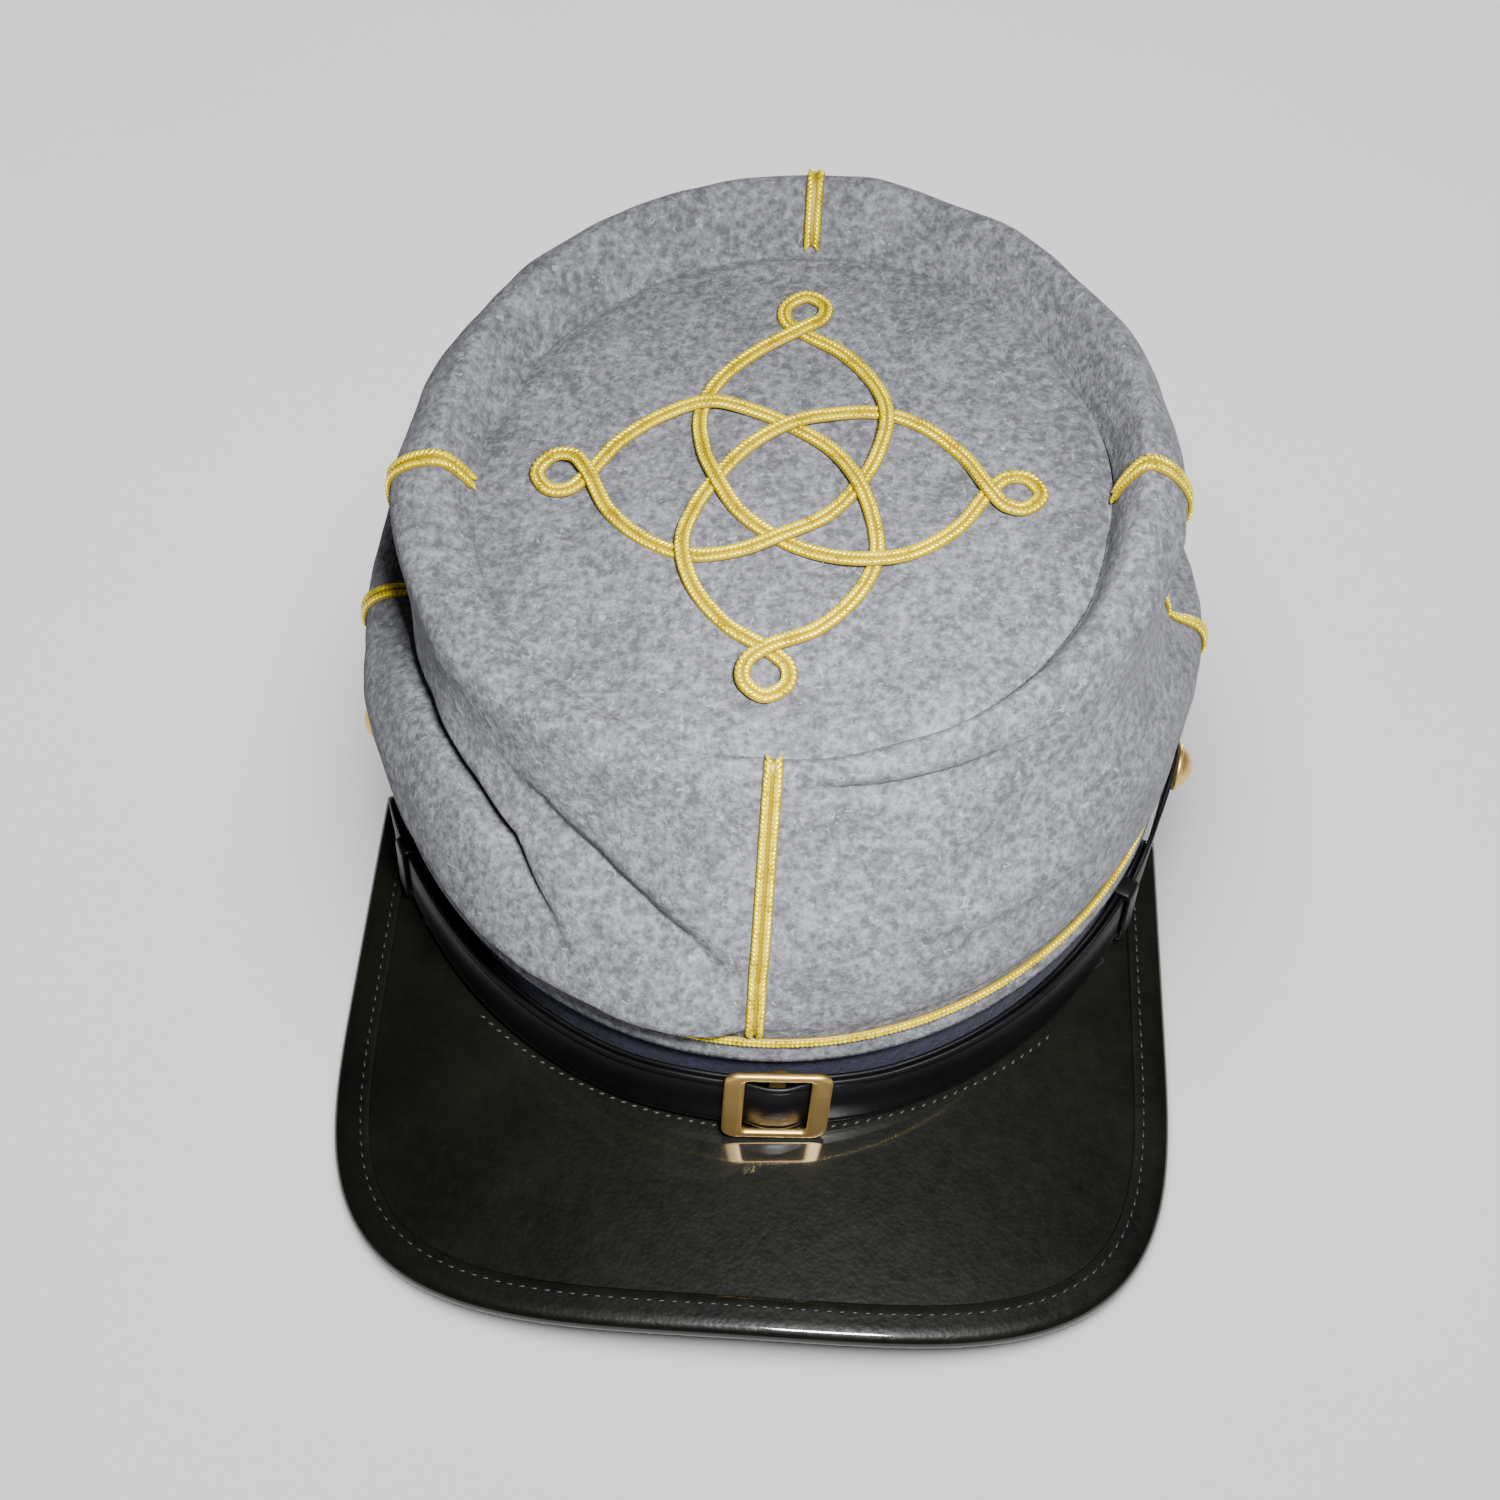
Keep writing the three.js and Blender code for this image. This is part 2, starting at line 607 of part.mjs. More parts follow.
function visorEdge(step, inset) {
  // Point of the free edge, moved inward
  const at = VISOR_OUTLINE[step];
  const ahead = VISOR_OUTLINE[Math.min(step + 1, VISOR_STEPS)];
  const behind = VISOR_OUTLINE[Math.max(step - 1, 0)];
  const along = ahead.clone().sub(behind).normalize();
  return at.clone().add(new THREE.Vector2(along.y, -along.x).multiplyScalar(inset));
}

function visorInner(step) {
  // Point of the visor's inner edge, under the inner face of the band
  const rear = THREE.MathUtils.radToDeg(Math.acos(-VISOR_REAR / BAND_HALF_LENGTH));
  const p = onOval(THREE.MathUtils.lerp(rear, -rear, step / VISOR_STEPS), -BAND_THICKNESS, 0);
  return new THREE.Vector2(p.x, p.y);
}

function visor() {
  const inset = BINDING_THICKNESS + GAP;
  const sections = [];
  for (let step = 0; step <= VISOR_STEPS; step += 1) {
    const outer = visorEdge(step, inset);
    const inner = visorInner(step);
    const top = [];
    const under = [];
    for (let row = 0; row <= VISOR_ROWS; row += 1) {
      const p = inner.clone().lerp(outer, row / VISOR_ROWS);
      const z = visorTop(p.x, p.y);
      top.push(new THREE.Vector3(p.x, p.y, z));
      under.unshift(new THREE.Vector3(p.x, p.y, z - VISOR_THICKNESS));
    }
    sections.push([...top, ...under]);
  }
  return loft(sections, false);
}

function visorBinding() {
  // Folded strip: wide flange on top, narrower flange beneath, open towards the band
  const sections = [];
  for (let step = 0; step <= VISOR_STEPS; step += 1) {
    const at = (inset, up) => {
      const p = visorEdge(step, inset);
      return new THREE.Vector3(p.x, p.y, visorTop(p.x, p.y) + up);
    };
    const low = -VISOR_THICKNESS - GAP;
    const wall = BINDING_THICKNESS;
    const edge = visorEdge(step, 0);
    const bandHalf = BAND_HALF_WIDTH * Math.sqrt(Math.max(0, 1 - (edge.y / BAND_HALF_LENGTH) ** 2));
    const wide = Math.min(BINDING_TOP_WIDTH, Math.abs(edge.x) - bandHalf - 1);
    const width = edge.y < -BAND_HALF_LENGTH ? BINDING_TOP_WIDTH : wide;
    sections.push([
      at(width, GAP), at(width, GAP + wall * 0.6), at(1, GAP + wall),
      at(0, 0), at(0, -VISOR_THICKNESS), at(1, low - wall), at(BINDING_UNDER_WIDTH, low - wall),
      at(BINDING_UNDER_WIDTH, low), at(wall, low), at(wall, GAP),
    ]);
  }
  return loft(sections, false);
}

function strapFrame(azimuth) {
  // Middle of the strap's back face with its directions along, across and outward
  const side = Math.abs(azimuth);
  const row = (key) => between(STRAP_LINE, 'azimuth', key, side);
  const middle = (at) => onOval(at, between(STRAP_LINE, 'azimuth', 'out', Math.abs(at)),
    between(STRAP_LINE, 'azimuth', 'height', Math.abs(at)));
  const along = middle(azimuth + 0.5).sub(middle(azimuth - 0.5)).normalize();
  const lean = THREE.MathUtils.degToRad(row('lean'));
  const out = ovalNormal(azimuth).multiplyScalar(Math.cos(lean)).addScaledVector(UP, Math.sin(lean));
  const across = new THREE.Vector3().crossVectors(out, along).normalize();
  out.crossVectors(along, across).normalize();
  const point = middle(azimuth).addScaledVector(ovalNormal(azimuth), (STRAP_WIDTH / 2) * Math.sin(lean));
  return { point, along, across, out };
}

function strapStations(from, to) {
  // Even steps, with closer ones where the strap bends over the buckle's middle bar
  const low = Math.min(from, to);
  const high = Math.max(from, to);
  const stations = [];
  for (let azimuth = low; azimuth <= high; azimuth += STRAP_STEP) {
    if (Math.abs(azimuth - BUCKLE_AZIMUTH) > 1.5 * STRAP_STEP) stations.push(azimuth);
  }
  for (const [length] of STRAP_TIP) {
    stations.push(low - length / DEGREE, high + length / DEGREE);
  }
  for (const away of BUCKLE_STATIONS) stations.push(BUCKLE_AZIMUTH - away, BUCKLE_AZIMUTH + away);
  return [...new Set(stations)].sort((a, b) => a - b);
}

function strap(from, to, lift) {
  // Leather strip along the band with round ends; "lift" is its distance from the strap line
  const low = Math.min(from, to);
  const high = Math.max(from, to);
  const tip = [{ reach: 0, share: 1 }, ...STRAP_TIP.map(([reach, share]) => ({ reach, share }))];
  const sections = strapStations(from, to).map((azimuth) => {
    const { point, across, out } = strapFrame(azimuth);
    const beyond = Math.max(low - azimuth, azimuth - high, 0) * DEGREE;
    const half = (between(tip, 'reach', 'share', beyond) * STRAP_WIDTH) / 2;
    const corner = (side, up) => point.clone().addScaledVector(across, side * half)
      .addScaledVector(out, up + lift(azimuth));
    return [corner(-1, 0), corner(-1, STRAP_THICKNESS), corner(1, STRAP_THICKNESS), corner(1, 0)];
  });
  return loft(sections, false);
}

function outerLift(azimuth) {
  // The outer layer rises over the buckle's middle bar
  const away = Math.abs(azimuth - BUCKLE_AZIMUTH);
  return LAYER + LAYER * (1 - THREE.MathUtils.smoothstep(away, ...BUCKLE_BEND));
}

function keeper(azimuth) {
  // Leather loop round both layers
  const sections = [];
  const { point, along, across, out } = strapFrame(azimuth);
  const inside = { half: STRAP_WIDTH / 2 + 2 * GAP, low: -GAP, high: 2 * LAYER + GAP };
  for (const reach of [-KEEPER_WIDTH / 2, KEEPER_WIDTH / 2]) {
    const ring = (grow) => [[-1, 'low'], [-1, 'high'], [1, 'high'], [1, 'low']].map(([side, key]) => {
      const up = inside[key] + (key === 'low' ? -grow : grow);
      return point.clone().addScaledVector(along, reach)
        .addScaledVector(across, side * (inside.half + grow)).addScaledVector(out, up);
    });
    sections.push([ring(0), ring(KEEPER_THICKNESS)]);
  }
  const outline = (corner) => [sections[0][0][corner], sections[0][1][corner],
    sections[1][1][corner], sections[1][0][corner]];
  return loft([0, 1, 2, 3].map(outline), true);
}

const wasm = await Module();
wasm.setup();

function toSolid(geometry) {
  const merged = new Map();
  const vertices = [];
  const source = geometry.index ? geometry.toNonIndexed() : geometry;
  const place = source.getAttribute('position');
  const triangles = [];
  for (let i = 0; i < place.count; i += 1) {
    const p = [place.getX(i), place.getY(i), place.getZ(i)].map((n) => Math.round(n * 1e5) / 1e5);
    const key = p.join(',');
    if (!merged.has(key)) {
      merged.set(key, merged.size);
      vertices.push(...p);
    }
    triangles.push(merged.get(key));
  }
  return new wasm.Manifold(new wasm.Mesh({
    numProp: 3, vertProperties: new Float32Array(vertices), triVerts: new Uint32Array(triangles),
  }));
}

function roundedOutline(path, halfWidth, halfHeight, corner) {
  path.moveTo(halfWidth, -halfHeight + corner);
  path.lineTo(halfWidth, halfHeight - corner);
  path.absarc(halfWidth - corner, halfHeight - corner, corner, 0, Math.PI / 2);
  path.lineTo(-halfWidth + corner, halfHeight);
  path.absarc(-halfWidth + corner, halfHeight - corner, corner, Math.PI / 2, Math.PI);
  path.lineTo(-halfWidth, -halfHeight + corner);
  path.absarc(-halfWidth + corner, -halfHeight + corner, corner, Math.PI, Math.PI * 1.5);
  path.lineTo(halfWidth - corner, -halfHeight);
  path.absarc(halfWidth - corner, -halfHeight + corner, corner, Math.PI * 1.5, Math.PI * 2);
  return path;
}

// Buckle: a rounded frame joined to its lower middle bar, z = 0 on the back of the inner strap
function buckle() {
  const frame = roundedOutline(new THREE.Shape(), BUCKLE_WIDTH / 2, BUCKLE_HEIGHT / 2, BUCKLE_CORNER);
  frame.holes.push(roundedOutline(new THREE.Path(), BUCKLE_WIDTH / 2 - BUCKLE_SIDE_BAR,
    BUCKLE_HEIGHT / 2 - BUCKLE_TOP_BAR, BUCKLE_CORNER / 3));
  const outline = new THREE.ExtrudeGeometry(frame, {
    depth: BUCKLE_THICKNESS - 2 * BUCKLE_BEVEL, curveSegments: 3, bevelThickness: BUCKLE_BEVEL,
    bevelSize: BUCKLE_BEVEL, bevelOffset: -BUCKLE_BEVEL, bevelSegments: 1,
  });
  outline.translate(0, 0, BUCKLE_LOW + BUCKLE_BEVEL);
  const postTop = BUCKLE_LOW + BUCKLE_THICKNESS / 2;
  const post = (y) => {
    const box = new THREE.BoxGeometry(BUCKLE_MIDDLE_BAR, BUCKLE_TOP_BAR - 2 * BUCKLE_BEVEL, postTop - LAYER);
    box.translate(0, y, (postTop + LAYER) / 2);
    return box;
  };
  const reach = (BUCKLE_HEIGHT - BUCKLE_TOP_BAR) / 2;
  const bar = new THREE.BoxGeometry(BUCKLE_MIDDLE_BAR, 2 * reach, BUCKLE_MIDDLE_BAR_THICKNESS);
  bar.translate(0, 0, LAYER + BUCKLE_MIDDLE_BAR_THICKNESS / 2);
  const solid = [post(reach), post(-reach), bar]
    .reduce((sum, piece) => sum.add(toSolid(piece)), toSolid(outline));
  const { vertProperties, triVerts } = solid.getMesh();
  const geometry = new THREE.BufferGeometry();
  geometry.setAttribute('position', new THREE.BufferAttribute(vertProperties, 3));
  geometry.setIndex(new THREE.BufferAttribute(triVerts, 1));
  geometry.computeVertexNormals();
  return geometry;
}

function button() {
  const levels = [
    [BUTTON_RADIUS - BUTTON_EDGE, 0],
    [BUTTON_RADIUS, BUTTON_EDGE_RISE],
    [BUTTON_RADIUS, BUTTON_RIM],
    ...BUTTON_DOME_CURVE.map(({ radius, rise }) => [
      BUTTON_RADIUS * radius, BUTTON_RIM + BUTTON_DOME * rise]),
  ];
  const rings = levels.map(([r, z]) => azimuths(BUTTON_STEPS).map((a) => {
    const d = outward(a);
    return new THREE.Vector3(r * d.x, r * d.y, z);
  }));
  return poleShell(new THREE.Vector3(0, 0, 0), rings,
    new THREE.Vector3(0, 0, BUTTON_RIM + BUTTON_DOME));
}

const WOOL = { color: '#a3a4aa', roughness: 0.95, metalness: 0 };
const NAVY = { color: '#1d1f38', roughness: 0.9, metalness: 0 };
const GOLD_BRAID = { color: '#e0b43a', roughness: 0.4, metalness: 0.7 };
const VISOR_LEATHER = { color: '#15170f', roughness: 0.25, metalness: 0 };
const STRAP_LEATHER = { color: '#14151a', roughness: 0.35, metalness: 0 };
const BRASS = { color: '#c9a050', roughness: 0.3, metalness: 1 };

const cap = new THREE.Group();
cap.rotation.x = -REST_TILT;
cap.position.copy(REST_SHIFT);

function add(name, geometry, look) {
  const mesh = new THREE.Mesh(geometry, new THREE.MeshStandardMaterial(look));
  mesh.name = name;
  cap.add(mesh);
  return mesh;
}

function seatOnStrap(mesh, azimuth, lift, raised = 0) {
  const { point, along, across, out } = strapFrame(azimuth);
  point.addScaledVector(across, raised);
  const turn = new THREE.Matrix4().makeBasis(along, across.negate(), out);
  if (turn.determinant() < 0) turn.makeBasis(along.negate(), across, out);
  mesh.quaternion.setFromRotationMatrix(turn);
  mesh.position.copy(point).addScaledVector(out, lift);
}

add('crown_side', crownSide(), WOOL);
add('crown_top', crownTop(), WOOL);
add('band', band(), NAVY);
add('base_braid', baseBraid(), GOLD_BRAID);
for (const row of SEAM_BRAIDS) add(row.name, seamBraid(row), GOLD_BRAID);
add('knot_braid', knot(), GOLD_BRAID);
add('visor', visor(), VISOR_LEATHER);
add('visor_binding', visorBinding(), VISOR_LEATHER);
add('chin_strap_outer', strap(BUTTON_AZIMUTH, -TIP_AZIMUTH, outerLift), STRAP_LEATHER);
add('chin_strap_inner', strap(-BUTTON_AZIMUTH, TIP_AZIMUTH, () => 0), STRAP_LEATHER);
add('keeper_left', keeper(-KEEPER_AZIMUTH), STRAP_LEATHER);
add('keeper_right', keeper(KEEPER_AZIMUTH), STRAP_LEATHER);
seatOnStrap(add('buckle', buckle(), BRASS), BUCKLE_AZIMUTH, 0, BUCKLE_RAISED);
seatOnStrap(add('button_right', button(), BRASS), BUTTON_AZIMUTH, 2 * LAYER);
seatOnStrap(add('button_left', button(), BRASS), -BUTTON_AZIMUTH, LAYER);

const group = new THREE.Group();
group.add(cap);

export default group;
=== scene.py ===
import math
import bmesh
import bpy
import numpy as np
from mathutils import Matrix


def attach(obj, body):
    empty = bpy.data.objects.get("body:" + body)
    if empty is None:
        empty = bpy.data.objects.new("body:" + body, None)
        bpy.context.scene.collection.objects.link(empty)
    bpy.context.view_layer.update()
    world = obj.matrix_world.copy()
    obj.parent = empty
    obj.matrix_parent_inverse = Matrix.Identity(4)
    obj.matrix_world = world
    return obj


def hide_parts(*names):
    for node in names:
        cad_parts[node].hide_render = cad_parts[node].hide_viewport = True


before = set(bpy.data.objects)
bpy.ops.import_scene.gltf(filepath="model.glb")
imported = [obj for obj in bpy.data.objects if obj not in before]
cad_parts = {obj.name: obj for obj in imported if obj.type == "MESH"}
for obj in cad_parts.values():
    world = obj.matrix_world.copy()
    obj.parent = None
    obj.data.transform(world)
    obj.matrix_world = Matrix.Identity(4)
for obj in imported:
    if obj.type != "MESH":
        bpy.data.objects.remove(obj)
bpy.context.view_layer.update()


# Table, light and camera.
# A plain pale studio table with the cap lying on it by itself, seen from in front and well above. A
# small gridded softbox hangs over the camera, and the room gives a low even light.
REST_TILT = math.radians(2.943)          # the visor's corners and the back of the band touch the table
REST_SHIFT = np.array([-0.1, 20.16, 2.895])
EYE = np.array([3.194, -292.113, 379.863])
EYE_AZIMUTH, EYE_ELEVATION, EYE_ROLL = 1.79, 52.64, 1.93
LENS, SENSOR = 46.807, 36.0
TABLE_HALF = 3.0


def laid(points):
    """From the cap's own upright frame in mm to where it lies on the table, in metres"""
    p = np.asarray(points, float)
    c, s = math.cos(REST_TILT), math.sin(REST_TILT)
    turned = np.stack([p[..., 0], p[..., 1] * c + p[..., 2] * s, p[..., 2] * c - p[..., 1] * s], -1)
    return (turned + REST_SHIFT) / 1000


def linear(hex_colour):
    """sRGB hex to the linear RGBA that a socket takes"""
    rgb = [int(hex_colour[i:i + 2], 16) / 255 for i in (1, 3, 5)]
    return [v / 12.92 if v <= 0.04045 else ((v + 0.055) / 1.055) ** 2.4 for v in rgb] + [1.0]


def add_node(tree, kind, inputs=None, **settings):
    """Adds a node with its settings; inputs give a socket a value or another node's output"""
    made = tree.nodes.new(kind)
    for name, value in settings.items():
        setattr(made, name, value)
    for key, value in (inputs or {}).items():
        if isinstance(value, bpy.types.NodeSocket):
            tree.links.new(value, made.inputs[key])
        else:
            made.inputs[key].default_value = value
    return made


def new_material(name):
    """An empty material, its node tree and the Object coordinates that its patterns read"""
    made = bpy.data.materials.new(name)
    made.use_nodes = True
    tree = made.node_tree
    tree.nodes.clear()
    return made, tree, add_node(tree, "ShaderNodeTexCoord").outputs["Object"]


def two_tone_material(name, scale, detail, one, other, finish):
    """A material whose colour drifts between two tones"""
    made, tree, place = new_material(name)
    drift = add_node(tree, "ShaderNodeTexNoise", {"Vector": place, "Scale": scale, "Detail": detail})
    colour = add_node(tree, "ShaderNodeMix", {"Factor": drift.outputs["Fac"], "A": linear(one),
                      "B": linear(other)}, data_type="RGBA")
    surface = add_node(tree, "ShaderNodeBsdfPrincipled", {"Base Color": colour.outputs["Result"], **finish})
    add_node(tree, "ShaderNodeOutputMaterial", {"Surface": surface.outputs[0]})
    return made


def new_object(name, data, *materials):
    made = bpy.data.objects.new(name, data)
    bpy.context.scene.collection.objects.link(made)
    for material in materials:
        data.materials.append(material)
    return made


def unit(vectors):
    return vectors / np.linalg.norm(vectors, axis=-1, keepdims=True)


# Painted board: matt, with a very slight unevenness in its tone
table_paint = two_tone_material("matt painted table", 6.0, 3.0, "#d9d9d9", "#dedede",
                                {"Roughness": 0.9, "Specular IOR Level": 0.2})
table_mesh = bpy.data.meshes.new("table")
table_mesh.from_pydata([(x * TABLE_HALF, y * TABLE_HALF, 0) for x, y in ((-1, -1), (1, -1), (1, 1), (-1, 1))],
                       [], [(0, 1, 2, 3)])
table = new_object("table", table_mesh, table_paint)

azimuth, elevation, roll = (math.radians(v) for v in (EYE_AZIMUTH, EYE_ELEVATION, EYE_ROLL))
forward = np.array([-math.sin(azimuth) * math.cos(elevation), math.cos(azimuth) * math.cos(elevation),
                    -math.sin(elevation)])
level = np.array([math.cos(azimuth), math.sin(azimuth), 0.0])
upward = np.cross(level, forward)
right = math.cos(roll) * level + math.sin(roll) * upward
top = math.cos(roll) * upward - math.sin(roll) * level
lay_down = np.array([laid(axis) - laid((0, 0, 0)) for axis in np.eye(3)]).T * 1000
camera = new_object("camera", bpy.data.cameras.new("camera"))
camera.data.lens, camera.data.sensor_width, camera.data.clip_start = LENS, SENSOR, 0.02
eye = laid(EYE)
axes = np.array([lay_down @ right, lay_down @ top, lay_down @ -forward]).T
camera.matrix_world = Matrix([[*axes[i], eye[i]] for i in range(3)] + [[0, 0, 0, 1]])
bpy.context.scene.camera = camera

# The softbox lights the cap and is flagged off the table, which has a lamp of its own overhead. A weak
# lamp low behind keeps the back of the cap out of the dark.
LAMPS = [  # name, place, aim, width, height, watts, spread in degrees, how it treats the table
    ("softbox over the camera", (0.06, -0.205, 0.42), (0.01, -0.035, 0.09), 0.08, 0.06, 1.2, 80, "EXCLUDE"),
    ("lamp over the table", (0.0, 0.0, 1.4), (0, 0, 0), 1.2, 1.2, 45.0, 180, "INCLUDE"),
    ("low lamp behind", (0.3, 1.0, 0.14), (0, 0, 0.06), 0.6, 0.2, 7.0, 180, "EXCLUDE"),
]
for name, place_at, aim, width, height, watts, spread, treats_table in LAMPS:
    lamp = new_object(name, bpy.data.lights.new(name, "AREA"))
    lamp.data.shape = "RECTANGLE"
    lamp.data.size, lamp.data.size_y = width, height
    lamp.data.energy, lamp.data.spread = watts, math.radians(spread)
    flag = bpy.data.collections.new(name + " on the table")
    flag.objects.link(table)
    flag.collection_objects[0].light_linking.link_state = treats_table
    lamp.light_linking.receiver_collection = flag
    back = unit(np.array(place_at, float) - np.array(aim, float))
    side = unit(np.array([-back[1], back[0], 0.0] if abs(back[2]) < 0.999 else [1.0, 0.0, 0.0]))
    turn = np.array([side, np.cross(back, side), back]).T
    lamp.matrix_world = Matrix([[*turn[i], place_at[i]] for i in range(3)] + [[0, 0, 0, 1]])

room = bpy.data.worlds.new("studio room")
room.use_nodes = True
glow = room.node_tree.nodes["Background"].inputs
glow["Color"].default_value, glow["Strength"].default_value = (0.95, 0.97, 1.0, 1.0), 0.03
bpy.context.scene.world = room


# Crown wall.
# Soft grey wool cloth, about 2 mm thick, cut in quarters and sewn to the band at its foot and to the
# round top above. It has slumped: the rim rolls over, and the wearer's right side folds deeply.
BAND_HALF_WIDTH, BAND_HALF_LENGTH = 88.0, 101.0
BAND_TOP, WALL_FOOT, NECK, LIP, FOOT_OUT, FOOT_FLARE = 29.0, 29.3, 38.5, 42.0, 1.0, 1.3
BASE_BRAID_Z, BASE_BRAID_HEIGHT = 35.7, 3.4
CLOTH = 2.0
TOP_RADIUS, TOP_CENTRE = 65.3, np.array([0.9, -6.4, 95.9])
TOP_TILT, TOP_LEAN, TOP_DOME = math.radians(6.5), math.radians(3.0), 1.2

# The wall's outline at azimuths round the cap. Bulge and waist are at shares of the way from the neck to the
# top seam, roll and crest stand out from and above the seam, all in mm.
SECTIONS = np.array([  # azimuth, lip out, bulge at, out, waist at, out, roll out, up, crest out, up
    (0, 1.6, 0.35, 3.0, 0.70, 1.0, 3.0, -1.5, 1.0, 0.3),
    (35, 2.0, 0.36, 6.0, 0.70, 4.0, 6.0, -1.0, 2.5, 2.0),
    (62, 2.4, 0.36, 8.6, 0.68, 7.4, 11.0, 2.0, 4.5, 5.0),
    (80, 3.2, 0.33, 9.8, 0.60, 5.6, 13.4, 2.6, 5.2, 9.2),
    (92, 4.2, 0.29, 11.0, 0.54, 3.0, 14.0, 3.0, 5.5, 11.0),
    (108, 4.2, 0.30, 10.8, 0.60, 4.5, 14.0, 3.0, 6.5, 11.5),
    (135, 3.0, 0.38, 10.5, 0.72, 8.0, 14.8, 3.0, 8.0, 12.0),
    (180, 3.0, 0.38, 9.0, 0.72, 10.0, 17.0, 3.5, 10.0, 13.0),
    (225, 4.2, 0.36, 11.5, 0.70, 8.0, 17.5, 3.0, 8.5, 11.0),
    (252, 5.5, 0.29, 13.4, 0.56, 4.5, 16.0, 3.0, 8.0, 9.8),
    (270, 5.5, 0.20, 9.0, 0.42, 1.5, 16.0, 2.8, 7.0, 8.0),
    (284, 4.6, 0.24, 9.0, 0.50, 3.0, 15.0, 0.6, 6.5, 3.2),
    (298, 3.8, 0.28, 9.0, 0.62, 5.0, 13.4, -1.2, 6.0, 1.2),
    (325, 5.8, 0.33, 7.5, 0.66, 5.0, 9.0, -1.8, 4.0, 0.6),
    (345, 6.2, 0.35, 5.0, 0.68, 2.6, 5.0, -1.6, 2.2, 0.3),
    (355, 5.0, 0.35, 3.8, 0.69, 1.5, 3.6, -1.5, 1.4, 0.3),
])

# Folds. Above its line the cloth turns in within a few mm and hangs over it, and below the line it runs in
# slowly over a wider strip.
FOLDS = [  # name, mm above and below, overhang, line (azimuth, share of the wall's height, depth in mm)
    ("deep fold on the wearer's right", 2.2, 4.6, 0.3, (
        (262, 0.36, 0.0), (271, 0.39, 4.0), (285, 0.48, 8.4), (299, 0.55, 8.8),
        (313, 0.55, 7.4), (322, 0.52, 5.4), (331, 0.40, 2.0), (337, 0.30, 0.0))),
    ("groove behind the deep fold", 3.0, 5.5, 0.3, (
        (238, 0.48, 0.0), (248, 0.44, 3.6), (258, 0.41, 6.4), (268, 0.41, 7.0), (278, 0.44, 5.5),
        (290, 0.50, 0.0))),
    ("second fold down to the front braid", 2.8, 6.0, 0.15, (
        (315, 0.66, 0.0), (325, 0.64, 2.8), (335, 0.60, 4.2), (343, 0.54, 4.4), (350, 0.47, 3.8),
        (356, 0.37, 2.4), (361, 0.31, 0.0))),
    ("fold under the rim on the wearer's left", 3.0, 6.5, 0.4, (
        (83, 0.43, 0.0), (87, 0.40, 2.2), (91, 0.38, 5.6), (100, 0.385, 6.6), (116, 0.43, 5.0),
        (132, 0.50, 0.0))),
    ("soft hollow beside the front braid", 8.0, 9.0, 0.0, (
        (5, 0.60, 0.0), (22, 0.54, 1.6), (39, 0.56, 1.6), (58, 0.50, 0.0))),
    ("crease under the top seam", 2.2, 5.0, 0.3, (
        (2, 0.90, 0.0), (11, 0.885, 1.8), (24, 0.855, 2.2), (36, 0.82, 1.4), (48, 0.78, 0.0))),
    ("faint fold on the front quarter", 3.0, 6.0, 0.2, (
        (14, 0.42, 0.0), (28, 0.36, 1.2), (44, 0.33, 1.2), (60, 0.30, 0.0))),
]

# How the cloth above a fold moves, in mm: it slides over the line from OVER_START on, less by OVER_REACH,
# and swells most at PUFF_AT above it. AROUND and HEIGHT make a degree and the full height mm on the cloth.
AROUND, HEIGHT = 1.45, 95.0
OVER_START, OVER_REACH, PUFF_SHARE, PUFF_AT, PUFF_WIDTH = 1.2, 10, 0.3, 7, 6
WALL_RIPPLES = ((0.4, 34.0, 3), (0.14, 12.0, 4))    # height, wavelength in mm, seed
RIPPLES_FROM, RIPPLES_WITHIN = 0.1, 0.12            # shares of the way up
TUCK_LEAST, TUCK_MOST, TUCK_ON_LEFT, TUCK_WIDTH = 0.05, 1.1, 0.7, 2.2
SMOOTH_AT, LEFT_AT = 315, 75                        # azimuths where the seam's crease is least, and deeper
FOOT_ROWS = 8


def smoothstep(t):
    t = np.clip(t, 0, 1)
    return t * t * (3 - 2 * t)


def section_at(azimuth):
    """Smooth values between the rows of the closed table"""
    count = len(SECTIONS)
    at = azimuth % 360
    i = max(k for k in range(count) if SECTIONS[k][0] <= at)
    x = [SECTIONS[k % count][0] + 360 * (k // count) for k in (i - 1, i, i + 1, i + 2)]
    y = [SECTIONS[k % count][1:] for k in (i - 1, i, i + 1, i + 2)]
    span = x[2] - x[1]
    m1, m2 = (y[2] - y[0]) / (x[2] - x[0]) * span, (y[3] - y[1]) / (x[3] - x[1]) * span
    t = (at - x[1]) / span
    return ((2 * t ** 3 - 3 * t ** 2 + 1) * y[1] + (t ** 3 - 2 * t ** 2 + t) * m1
            + (3 * t ** 2 - 2 * t ** 3) * y[2] + (t ** 3 - t ** 2) * m2)


def outward(azimuth):
    a = math.radians(azimuth)
    return np.array([math.sin(a), -math.cos(a), 0.0])


def on_oval(azimuth, out, z):
    """Point beside the band's outer face"""
    d = outward(azimuth)
    normal = unit(np.array([d[0] / BAND_HALF_WIDTH, d[1] / BAND_HALF_LENGTH, 0]))
    return np.array([BAND_HALF_WIDTH * d[0], BAND_HALF_LENGTH * d[1], z]) + out * normal


TOP_RIGHT = np.array([math.cos(TOP_LEAN), 0, math.sin(TOP_LEAN)])
TOP_BACK = np.array([0, math.cos(TOP_TILT), math.sin(TOP_TILT)])
TOP_NORMAL = unit(np.cross(TOP_RIGHT, TOP_BACK))


def on_top(u, v, up=0.0):
    """Point over the round top, u to the right and v to the back from its middle"""
    raised = max(TOP_DOME * (1 - (u * u + v * v) / TOP_RADIUS ** 2), 0)
    return TOP_CENTRE + u * TOP_RIGHT + v * TOP_BACK + (up + raised) * TOP_NORMAL


